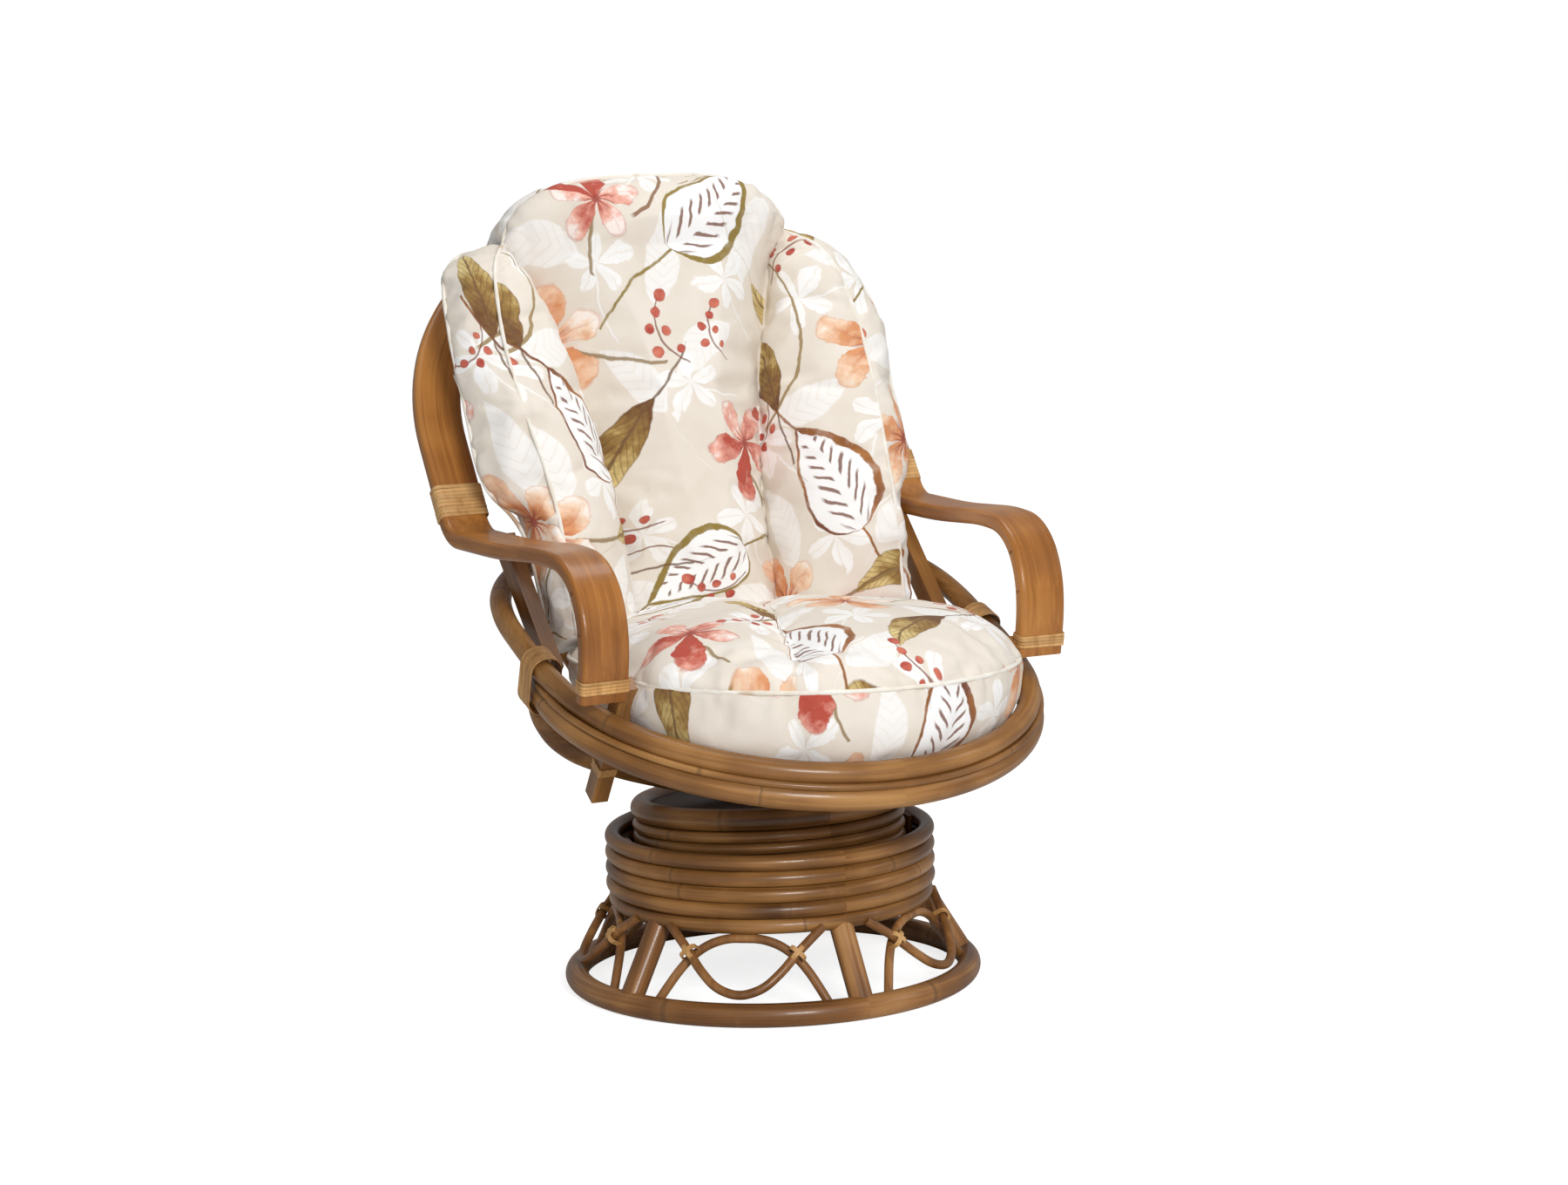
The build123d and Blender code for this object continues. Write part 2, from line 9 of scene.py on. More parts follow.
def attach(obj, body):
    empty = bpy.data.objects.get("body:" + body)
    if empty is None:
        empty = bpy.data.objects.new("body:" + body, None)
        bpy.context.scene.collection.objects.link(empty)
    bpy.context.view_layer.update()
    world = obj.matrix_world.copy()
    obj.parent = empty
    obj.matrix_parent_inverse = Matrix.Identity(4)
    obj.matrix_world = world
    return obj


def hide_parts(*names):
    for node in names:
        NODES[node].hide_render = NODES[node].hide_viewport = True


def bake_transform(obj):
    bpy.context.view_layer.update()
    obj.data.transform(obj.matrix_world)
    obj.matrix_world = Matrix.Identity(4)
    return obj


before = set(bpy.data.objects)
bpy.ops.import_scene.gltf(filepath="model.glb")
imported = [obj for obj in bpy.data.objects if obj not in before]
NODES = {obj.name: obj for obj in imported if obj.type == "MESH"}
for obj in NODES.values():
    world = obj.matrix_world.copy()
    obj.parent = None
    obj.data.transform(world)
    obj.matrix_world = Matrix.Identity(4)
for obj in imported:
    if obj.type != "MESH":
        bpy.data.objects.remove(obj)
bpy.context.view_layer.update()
SCENE = bpy.context.scene
S21, C21 = math.sin(math.radians(21)), math.cos(math.radians(21))
S16, C16 = math.sin(math.radians(16)), math.cos(math.radians(16))


# ---------------------------------------------------------------- small node kit
def lin(r, g, b):
    """An sRGB colour from 0 to 255 as linear RGBA."""
    out = []
    for v in (r, g, b):
        v /= 255.0
        out.append(v / 12.92 if v <= 0.04045 else ((v + 0.055) / 1.055) ** 2.4)
    return tuple(out) + (1.0,)


class Kit:
    def __init__(self, name):
        self.mat = bpy.data.materials.new(name)
        self.mat.use_nodes = True
        self.t = self.mat.node_tree
        self.t.nodes.clear()
        self.out = self.t.nodes.new("ShaderNodeOutputMaterial")
        self.bsdf = self.t.nodes.new("ShaderNodeBsdfPrincipled")
        self.t.links.new(self.bsdf.outputs[0], self.out.inputs[0])

    def put(self, sock, v):
        if isinstance(v, bpy.types.NodeSocket):
            self.t.links.new(v, sock)
        elif v is not None:
            sock.default_value = v

    def node(self, kind, **props):
        n = self.t.nodes.new(kind)
        for k, v in props.items():
            setattr(n, k, v)
        return n

    def m(self, op, a, b=None, c=None, clamp=False):
        n = self.node("ShaderNodeMath", operation=op, use_clamp=clamp)
        for i, v in enumerate((a, b, c)):
            self.put(n.inputs[i], v)
        return n.outputs[0]

    def v(self, op, a, b=None, c=None, scale=None):
        n = self.node("ShaderNodeVectorMath", operation=op)
        for i, v in enumerate((a, b, c)):
            self.put(n.inputs[i], v)
        if scale is not None:
            self.put(n.inputs["Scale"], scale)
        return n.outputs["Value"] if op in ("LENGTH", "DOT_PRODUCT", "DISTANCE") else n.outputs[0]

    def sep(self, vec):
        n = self.node("ShaderNodeSeparateXYZ")
        self.put(n.inputs[0], vec)
        return n.outputs[0], n.outputs[1], n.outputs[2]

    def xyz(self, x=0.0, y=0.0, z=0.0):
        n = self.node("ShaderNodeCombineXYZ")
        for i, v in enumerate((x, y, z)):
            self.put(n.inputs[i], v)
        return n.outputs[0]

    def mixf(self, f, a, b):
        n = self.node("ShaderNodeMix", data_type="FLOAT")
        self.put(n.inputs[0], f)
        self.put(n.inputs[2], a)
        self.put(n.inputs[3], b)
        return n.outputs[0]

    def mixv(self, f, a, b):
        n = self.node("ShaderNodeMix", data_type="VECTOR")
        self.put(n.inputs[0], f)
        self.put(n.inputs[4], a)
        self.put(n.inputs[5], b)
        return n.outputs[1]

    def mixc(self, f, a, b, blend="MIX"):
        n = self.node("ShaderNodeMix", data_type="RGBA", blend_type=blend)
        self.put(n.inputs[0], f)
        self.put(n.inputs[6], a)
        self.put(n.inputs[7], b)
        return n.outputs[2]

    def noise(self, vec, scale, detail=2.0, rough=0.5, dist=0.0):
        n = self.node("ShaderNodeTexNoise")
        self.put(n.inputs["Vector"], vec)
        n.inputs["Scale"].default_value = scale
        n.inputs["Detail"].default_value = detail
        n.inputs["Roughness"].default_value = rough
        n.inputs["Distortion"].default_value = dist
        return n.outputs[0]

    def ramp(self, v, a, b, lo=0.0, hi=1.0, smooth=False):
        n = self.node("ShaderNodeMapRange", interpolation_type="SMOOTHSTEP" if smooth else "LINEAR", clamp=True)
        for i, x in enumerate((v, a, b, lo, hi)):
            self.put(n.inputs[i], x)
        return n.outputs[0]

    def soft(self, v, w):
        """0 where v is below -w/2, 1 where it is above w/2."""
        return self.ramp(v, -w / 2, w / 2)

    def bump(self, height, dist, strength=1.0, under=None):
        n = self.node("ShaderNodeBump")
        n.inputs["Strength"].default_value = strength
        n.inputs["Distance"].default_value = dist
        self.put(n.inputs["Height"], height)
        if under is not None:
            self.put(n.inputs["Normal"], under)
        return n.outputs[0]

    def finish(self, color, rough=0.5, normal=None, metallic=0.0, spec=0.5, coat=0.0, coat_rough=0.2, sheen=0.0):
        b = self.bsdf
        self.put(b.inputs["Base Color"], color)
        self.put(b.inputs["Roughness"], rough)
        if normal is not None:
            self.put(b.inputs["Normal"], normal)
        b.inputs["Metallic"].default_value = metallic
        b.inputs["Specular IOR Level"].default_value = spec
        b.inputs["Coat Weight"].default_value = coat
        b.inputs["Coat Roughness"].default_value = coat_rough
        b.inputs["Sheen Weight"].default_value = sheen
        b.inputs["Sheen Roughness"].default_value = 0.5
        return self.mat


def place(k):
    return k.node("ShaderNodeNewGeometry").outputs["Position"]


# ---------------------------------------------------------------- where the grain runs on each pole
def grain_ring(radius, y=0.0, z=0.0, tilt=0.0):
    """Grain that runs round a ring whose axis is tilted about X."""
    def f(k):
        p = k.node("ShaderNodeTexCoord").outputs["Object"]
        mp = k.node("ShaderNodeMapping", vector_type="TEXTURE")
        k.put(mp.inputs[0], p)
        mp.inputs["Location"].default_value = (0, y, z)
        mp.inputs["Rotation"].default_value = (math.radians(tilt), 0, 0)
        a, b, c = k.sep(mp.outputs[0])
        r = k.m("SQRT", k.m("ADD", k.m("MULTIPLY", a, a), k.m("MULTIPLY", b, b)))
        turn = k.m("MULTIPLY", k.m("ARCTAN2", a, b), radius)
        return r, c, turn
    return f


def grain_line(kx=0.0, ky=0.0):
    """Grain that runs up, leaning by kx and ky per unit of height."""
    def f(k):
        a, b, c = k.sep(k.node("ShaderNodeTexCoord").outputs["Object"])
        return k.m("MULTIPLY_ADD", c, -kx, a), k.m("MULTIPLY_ADD", c, -ky, b), c
    return f


def grain_y():
    def f(k):
        a, b, c = k.sep(k.node("ShaderNodeTexCoord").outputs["Object"])
        return a, c, b
    return f


def grain_x():
    def f(k):
        a, b, c = k.sep(k.node("ShaderNodeTexCoord").outputs["Object"])
        return b, c, a
    return f


def grain_cone():
    """Grain down legs that splay out from the axis."""
    def f(k):
        a, b, c = k.sep(k.node("ShaderNodeTexCoord").outputs["Object"])
        r = k.m("SQRT", k.m("ADD", k.m("MULTIPLY", a, a), k.m("MULTIPLY", b, b)))
        return k.m("MULTIPLY_ADD", c, 0.6, r), k.m("MULTIPLY", k.m("ARCTAN2", a, b), 0.22), c
    return f


def grain_hoop():
    """Grain that follows the bent hoop, in its own leaning plane."""
    def f(k):
        p = k.node("ShaderNodeTexCoord").outputs["Object"]
        mp = k.node("ShaderNodeMapping", vector_type="TEXTURE")
        k.put(mp.inputs[0], p)
        mp.inputs["Location"].default_value = (0, 0.205, 0.595)
        mp.inputs["Rotation"].default_value = (math.radians(-34), 0, 0)
        a, b, c = k.sep(mp.outputs[0])
        ax = k.m("MAXIMUM", k.m("SUBTRACT", k.m("ABSOLUTE", a), 0.031), 0.0)
        cz = k.m("MAXIMUM", k.m("SUBTRACT", c, 0.130), 0.0)
        d = k.m("SQRT", k.m("ADD", k.m("MULTIPLY", ax, ax), k.m("MULTIPLY", cz, cz)))
        return d, b, k.m("ADD", c, k.m("MULTIPLY", a, 0.6))
    return f


def grain_arm():
    """Grain that follows the armrest round its front bend."""
    def f(k):
        a, b, c = k.sep(k.node("ShaderNodeTexCoord").outputs["Object"])
        by = k.m("MAXIMUM", k.m("SUBTRACT", -0.105, b), 0.0)
        cz = k.m("MAXIMUM", k.m("SUBTRACT", c, 0.505), 0.0)
        d = k.m("SQRT", k.m("ADD", k.m("MULTIPLY", by, by), k.m("MULTIPLY", cz, cz)))
        along = k.m("SUBTRACT", b, k.m("MULTIPLY", c, 1.0))
        return a, d, along
    return f


def wood(name, light, mid, dark, grain, fine=230.0, streak=0.55, joints=False, rough=0.38, coat=0.24, seed=0.0):
    """Varnished cane or bent wood: streaks along the grain, slow changes of tone, and on canes the joints."""
    k = Kit(name)
    u, v, w = grain(k)
    vec = k.xyz(k.m("MULTIPLY", u, fine), k.m("MULTIPLY", v, fine), k.m("MULTIPLY_ADD", w, 5.0, seed))
    g1 = k.noise(vec, 1.0, 4.0, 0.62)
    vec2 = k.xyz(k.m("MULTIPLY", u, fine * 0.24), k.m("MULTIPLY", v, fine * 0.24), k.m("MULTIPLY_ADD", w, 2.2, seed + 7))
    g2 = k.noise(vec2, 1.0, 3.0, 0.55)
    slow = k.noise(k.v("ADD", place(k), (seed, 0, 0)), 7.0, 2.0, 0.5)
    f = k.m("ADD", k.m("MULTIPLY", k.m("SUBTRACT", g1, 0.5), streak), k.m("MULTIPLY", k.m("SUBTRACT", g2, 0.5), streak * 1.3))
    f = k.m("ADD", f, k.m("MULTIPLY_ADD", slow, 1.25, -0.13))
    c = k.mixc(k.ramp(f, 0.15, 0.62), dark, mid)
    c = k.mixc(k.ramp(f, 0.52, 1.00), c, light)
    height = k.m("MULTIPLY", g1, 0.5)
    if joints:
        # the growth joints of the cane: a fine dark ring with a little swelling, at uneven spacings
        wob = k.noise(k.xyz(0.0, seed, w), 2.3, 1.0)
        ph = k.m("FRACT", k.m("ADD", k.m("MULTIPLY", w, 3.1), k.m("MULTIPLY_ADD", wob, 1.3, seed * 0.37)))
        near = k.m("ABSOLUTE", k.m("SUBTRACT", ph, 0.5))
        line = k.ramp(near, 0.004, 0.011, 1.0, 0.0)
        halo = k.ramp(near, 0.0, 0.05, 1.0, 0.0)
        c = k.mixc(k.m("MULTIPLY", line, 0.55), c, tuple(x * 0.42 for x in dark[:3]) + (1.0,))
        c = k.mixc(k.m("MULTIPLY", halo, 0.16), c, light)
        height = k.m("ADD", height, k.m("MULTIPLY_ADD", line, -0.9, k.m("MULTIPLY", halo, 0.8)))
    # worn, polished spots
    worn = k.noise(place(k), 31.0, 3.0, 0.6)
    c = k.mixc(k.ramp(worn, 0.62, 0.80, 0.0, 0.20), c, light)
    r = k.ramp(g2, 0.2, 0.8, rough - 0.05, rough + 0.10)
    n = k.bump(height, 0.0004, 0.5)
    return k.finish(c, r, n, coat=coat, coat_rough=0.14, spec=0.34)


POLE = (lin(190, 142, 84), lin(152, 105, 54), lin(102, 64, 28))
DRUM = (lin(183, 135, 80), lin(143, 98, 50), lin(84, 52, 23))
BASE = (lin(194, 146, 92), lin(154, 105, 58), lin(96, 60, 30))
BAND = (lin(194, 134, 66), lin(166, 106, 46), lin(126, 76, 30))
PEEL = (lin(226, 184, 126), lin(206, 158, 98), lin(160, 112, 62))

made = {}


def keep(key, build):
    if key not in made:
        made[key] = build()
    return made[key]


def plain(name, light, dark, scale=30.0, rough=0.6, metallic=0.0, spec=0.5, bump=0.0003):
    k = Kit(name)
    n1 = k.noise(place(k), scale, 4.0, 0.6)
    n2 = k.noise(place(k), scale * 9, 2.0, 0.6)
    c = k.mixc(k.ramp(n1, 0.3, 0.7), dark, light)
    return k.finish(c, k.ramp(n2, 0.2, 0.8, rough - 0.07, rough + 0.07), k.bump(n2, bump, 0.5), metallic=metallic, spec=spec)


def assign(node, mat):
    ob = NODES[node]
    ob.data.materials.clear()
    ob.data.materials.append(mat)


Q_Y, Q_Z = -0.056, 0.388
for i, z in enumerate((0.1945, 0.1744, 0.1543, 0.1342, 0.1141)):
    assign(f"outer_drum_coil_{i + 1}", wood(f"drum_{i + 1}", *DRUM, grain_ring(0.203, 0, z), joints=True, seed=3.1 * i, streak=0.7))
for i in range(4):
    assign(f"inner_drum_coil_{i + 1}", wood(f"drum_in_{i + 1}", *DRUM, grain_ring(0.168, 0, 0.185, -3.3), joints=True, seed=11 + 2.3 * i, streak=0.7))
assign("base_ring", wood("floor_ring", *BASE, grain_ring(0.255, 0, 0.0146), joints=True, seed=21, streak=0.7))
assign("base_legs", wood("leg_cane", *BASE, grain_cone(), seed=5, streak=0.9))
lattice = wood("lattice_cane", *BASE, grain_cone(), fine=120, seed=8)
assign("lattice_canes_outer", lattice)
assign("lattice_canes_inner", lattice)
assign("seat_ring_bottom_coil", wood("ring_low", *POLE, grain_ring(0.316, Q_Y, Q_Z, 16), joints=True, seed=31))
assign("seat_ring_thin_coil", wood("ring_thin", *POLE, grain_ring(0.325, Q_Y, Q_Z, 16), joints=True, seed=33))
assign("seat_ring_top_hoop", wood("ring_top", *POLE, grain_ring(0.310, Q_Y, Q_Z, 16), joints=True, seed=35))
assign("back_hoop", wood("hoop_band", *BAND, grain_hoop(), fine=420, streak=0.6, seed=41, coat=0.26, rough=0.36))
for s in ("left", "right"):
    assign("arm_" + s, wood("arm_band_" + s, *BAND, grain_arm(), fine=420, streak=0.55, seed=43 if s == "left" else 47, coat=0.26, rough=0.36))
    assign("arm_stub_" + s, wood("stub_" + s, *POLE, grain_line(0, -0.68), seed=51))
    assign("rear_post_" + s, wood("post_" + s, *POLE, grain_line(0, 0.96), seed=53))
assign("back_spindles", wood("spindle_cane", *POLE, grain_line(0, 0.52), fine=300, seed=55))
assign("under_seat_cradle", wood("cradle_cane", *DRUM, grain_x(), seed=57))
assign("under_seat_rail", wood("rail_cane", *DRUM, grain_y(), seed=59))
assign("seat_deck_canes", wood("deck_cane", *POLE, grain_y(), fine=300, seed=61))
for n in ("inner_drum_staves", "outer_drum_staves"):
    assign(n, keep("staves", lambda: wood("stave_wood", *DRUM, grain_line(), seed=63, rough=0.5, coat=0.0)))
# the boards get a very dark brown: painted shade, standing for the shadow under the seat and inside the drum
for n in ("base_board", "seat_board"):
    assign(n, keep("board", lambda: wood("board_wood_painted_shade", lin(92, 64, 38), lin(70, 46, 26), lin(46, 30, 17), grain_y(), fine=90, seed=65, rough=0.6, coat=0.0)))
peel = wood("cane_peel", *PEEL, grain_line(0.3, 0.3), fine=500, streak=0.7, seed=71, rough=0.42, coat=0.15)
for n in ("lattice_bindings", "stub_lashing_left", "stub_lashing_right"):
    assign(n, peel)
for n in NODES:
    if "spring" in n:
        assign(n, keep("rubber", lambda: plain("rubber_black", lin(46, 46, 47), lin(26, 26, 27), 40, 0.7, spec=0.3)))
    elif n.startswith(("swivel_plate", "rocker_bracket", "rocker_plate")):
        assign(n, keep("plate", lambda: plain("plate_paint", lin(52, 52, 54), lin(34, 34, 36), 60, 0.42, spec=0.5, bump=0.0001)))
    elif "bolt" in n or n == "pivot_pin" or n.startswith("bearing_"):
        assign(n, keep("zinc", lambda: plain("zinc_metal", lin(196, 198, 202), lin(150, 152, 158), 90, 0.34, metallic=1.0, bump=0.00005)))


# ---------------------------------------------------------------- pieces made as meshes
def piece(name, verts, faces, mat, smooth=True):
    me = bpy.data.meshes.new(name)
    me.from_pydata([tuple(map(float, v)) for v in verts], [], faces)
    me.update()
    ob = bpy.data.objects.new(name, me)
    SCENE.collection.objects.link(ob)
    me.materials.append(mat)
    if smooth:
        me.polygons.foreach_set("use_smooth", [True] * len(me.polygons))
    return ob


def sweep(path, section, frames, closed=True):
    """A section (list of (a, b)) carried along points; frames gives the two side directions at each point."""
    n, m = len(path), len(section)
    verts = []
    for i in range(n):
        a, b = frames[i]
        for s, t in section:
            verts.append(path[i] + a * s + b * t)
    faces = []
    for i in range(n if closed else n - 1):
        j = (i + 1) % n
        for q in range(m):
            r = (q + 1) % m
            faces.append((i * m + q, i * m + r, j * m + r, j * m + q))
    return verts, faces


def rounded_rect(w, h, r, step=0.003):
    """Points round a rectangle w by h with corners r, with outward directions."""
    pts, outs = [], []
    for cx, cy, a0 in ((w / 2 - r, h / 2 - r, 0), (-w / 2 + r, h / 2 - r, 90), (-w / 2 + r, -h / 2 + r, 180), (w / 2 - r, -h / 2 + r, 270)):
        for i in range(6):
            a = math.radians(a0 + 90 * i / 5)
            pts.append((cx + r * math.cos(a), cy + r * math.sin(a)))
            outs.append((math.cos(a), math.sin(a)))
    return pts, outs


def wrap_binding(node, body, axis, count, corner, thick=0.0016, xdir=(1, 0, 0), seed=1):
    """Strips of cane peel wound side by side round a pole, where the CAD has a closed sleeve."""
    rnd = np.random.RandomState(seed)
    ax = Vector(axis).normalized()
    xd = Vector(xdir).normalized()
    xd = (xd - ax * xd.dot(ax)).normalized()
    yd = ax.cross(xd)
    co = np.array([v.co for v in NODES[node].data.vertices], float)
    B = np.array([xd, yd, ax])
    loc = co @ B.T
    lo, hi = loc.min(0), loc.max(0)
    mid = (lo + hi) / 2
    w, h, length = hi - lo
    pitch = length / count
    all_v, all_f = [], []
    base = Vector(mid[0] * B[0] + mid[1] * B[1] + mid[2] * B[2])
    pts, outs = rounded_rect(w - thick, h - thick, corner + thick / 2)
    for c in range(count):
        z0 = -length / 2 + pitch * (c + 0.5)
        wd = pitch * 0.97
        tilt = rnd.uniform(-0.012, 0.012)
        lift = rnd.uniform(-0.0001, 0.00025)
        t2 = thick / 2
        sec = [(-wd / 2, -t2), (-wd / 2, t2 * 0.15), (-wd * 0.36, t2 * 0.8), (0, t2 * 1.05), (wd * 0.36, t2 * 0.8), (wd / 2, t2 * 0.15), (wd / 2, -t2)]
        path, frames = [], []
        for (px, py), (ox, oy) in zip(pts, outs):
            o = xd * ox + yd * oy
            path.append(base + xd * px + yd * py + ax * (z0 + tilt * (px + py)) + o * lift)
            frames.append((ax, o))
        v, f = sweep(path, sec, frames)
        off = len(all_v)
        all_v += v
        all_f += [tuple(i + off for i in q) for q in f]
    mat = wood(f"peel_{node}", *PEEL, grain_line(0.0, 0.0), fine=140, streak=0.7, seed=seed * 1.7, rough=0.42, coat=0.15)
    # each strip has its own tone, and the gaps between strips are dark
    k_ob = piece("wrap_" + node, all_v, all_f, mat)
    me = k_ob.data
    at = me.attributes.new("strip", "FLOAT", "POINT")
    per = len(pts) * 7
    vals = []
    for c in range(count):
        vals += [float(rnd.uniform(0, 1))] * per
    at.data.foreach_set("value", vals)
    t = mat.node_tree
    an = t.nodes.new("ShaderNodeAttribute")
    an.attribute_name = "strip"
    mx = t.nodes.new("ShaderNodeMix")
    mx.data_type = "RGBA"
    mx.blend_type = "MULTIPLY"
    mx.inputs[0].default_value = 1.0
    mr = t.nodes.new("ShaderNodeMapRange")
    mr.inputs[3].default_value = 0.80
    mr.inputs[4].default_value = 1.06
    bs = [n for n in t.nodes if n.type == "BSDF_PRINCIPLED"][0]
    src = bs.inputs["Base Color"].links[0].from_socket
    t.links.new(an.outputs["Fac"], mr.inputs[0])
    t.links.new(src, mx.inputs[6])
    t.links.new(mr.outputs[0], mx.inputs[7])
    t.links.new(mx.outputs[2], bs.inputs["Base Color"])
    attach(k_ob, body)
    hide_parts(node)
    return k_ob


s34, c34 = math.sin(math.radians(34)), math.cos(math.radians(34))
s19, c19 = math.sin(math.radians(19)), math.cos(math.radians(19))
for i, s in enumerate(("left", "right")):
    wrap_binding("hoop_binding_" + s, "seat", (0, s34, c34), 9, 0.006, seed=3 + i)
    wrap_binding("ring_binding_" + s, "seat", (0, c19, s19), 8, 0.018, seed=7 + i)


toe = math.radians(2.35)
for i, (s, sg) in enumerate((("left", 1), ("right", -1))):
    wrap_binding("arm_foot_binding_" + s, "seat", (0, -0.19, 0.98), 4, 0.005, xdir=(math.cos(toe), sg * math.sin(toe), 0), seed=11 + i)


# ---------------------------------------------------------------- the print
TILE = (0.52, 0.66)


def nearest(k, p, spots, tile=TILE):
    """Local coordinates and number of the nearest of several motifs on a repeating cloth."""
    bq = bl = bi = None
    for cx, cy, rot, size, num in spots:
        d = k.v("SUBTRACT", p, (cx, cy, 0))
        w = k.v("WRAP", d, (tile[0] / 2, tile[1] / 2, 1), (-tile[0] / 2, -tile[1] / 2, -1))
        mp = k.node("ShaderNodeMapping", vector_type="TEXTURE")
        k.put(mp.inputs[0], w)
        mp.inputs["Rotation"].default_value = (0, 0, math.radians(rot))
        mp.inputs["Scale"].default_value = (size, size, 1)
        q = mp.outputs[0]
        L = k.v("LENGTH", w)
        if bq is None:
            bq, bl, bi = q, L, float(num)
            continue
        near = k.m("LESS_THAN", L, bl)
        bq = k.mixv(near, bq, q)
        bi = k.mixf(near, bi, float(num))
        bl = k.m("MINIMUM", bl, L)
    return bq, bi


def petals(k, q, num, count, width, wob):
    """Distance inside a ring of petals (above 0 inside), with the petal's number and the place across it."""
    x, y, _ = k.sep(q)
    r = k.v("LENGTH", q)
    a = k.m("ADD", k.m("ARCTAN2", y, x), k.m("MULTIPLY", k.m("SUBTRACT", wob, 0.5), 0.5))
    t = k.m("MULTIPLY_ADD", a, count / (2 * math.pi), 20.0)
    f = k.m("FRACT", t)
    idx = k.m("MULTIPLY_ADD", num, 7.0, k.m("FLOOR", t))
    wn = k.node("ShaderNodeTexWhiteNoise", noise_dimensions="1D")
    k.put(wn.inputs["W"], idx)
    rnd = wn.outputs["Value"]
    c = k.m("MULTIPLY", k.m("SUBTRACT", f, 0.5), 2.0 / width)
    lobe = k.m("POWER", k.m("MAXIMUM", k.m("SUBTRACT", 1.0, k.m("MULTIPLY", c, c)), 0.0), 0.55)
    reach = k.m("MULTIPLY_ADD", rnd, 0.34, 0.68)
    edge = k.m("SUBTRACT", k.m("MULTIPLY", lobe, reach), r)
    return edge, rnd, c, r, a


def leaf(k, q, bend, wide, power=0.8):
    """A leaf from (0,0) to (0,1): how far inside, the place across from -1 to 1, and along."""
    x, y, _ = k.sep(q)
    y = k.m("ADD", y, 0.5)
    yc = k.m("MAXIMUM", k.m("MINIMUM", y, 1.0), 0.0)
    s = k.m("SINE", k.m("MULTIPLY", k.m("POWER", yc, power), math.pi))
    xb = k.m("SUBTRACT", x, k.m("MULTIPLY", k.m("SINE", k.m("MULTIPLY", y, math.pi * 0.9)), bend))
    w = k.m("MULTIPLY", k.m("POWER", k.m("MAXIMUM", s, 0.0), 0.85), wide)
    edge = k.m("SUBTRACT", w, k.m("ABSOLUTE", xb))
    return edge, xb, y, w


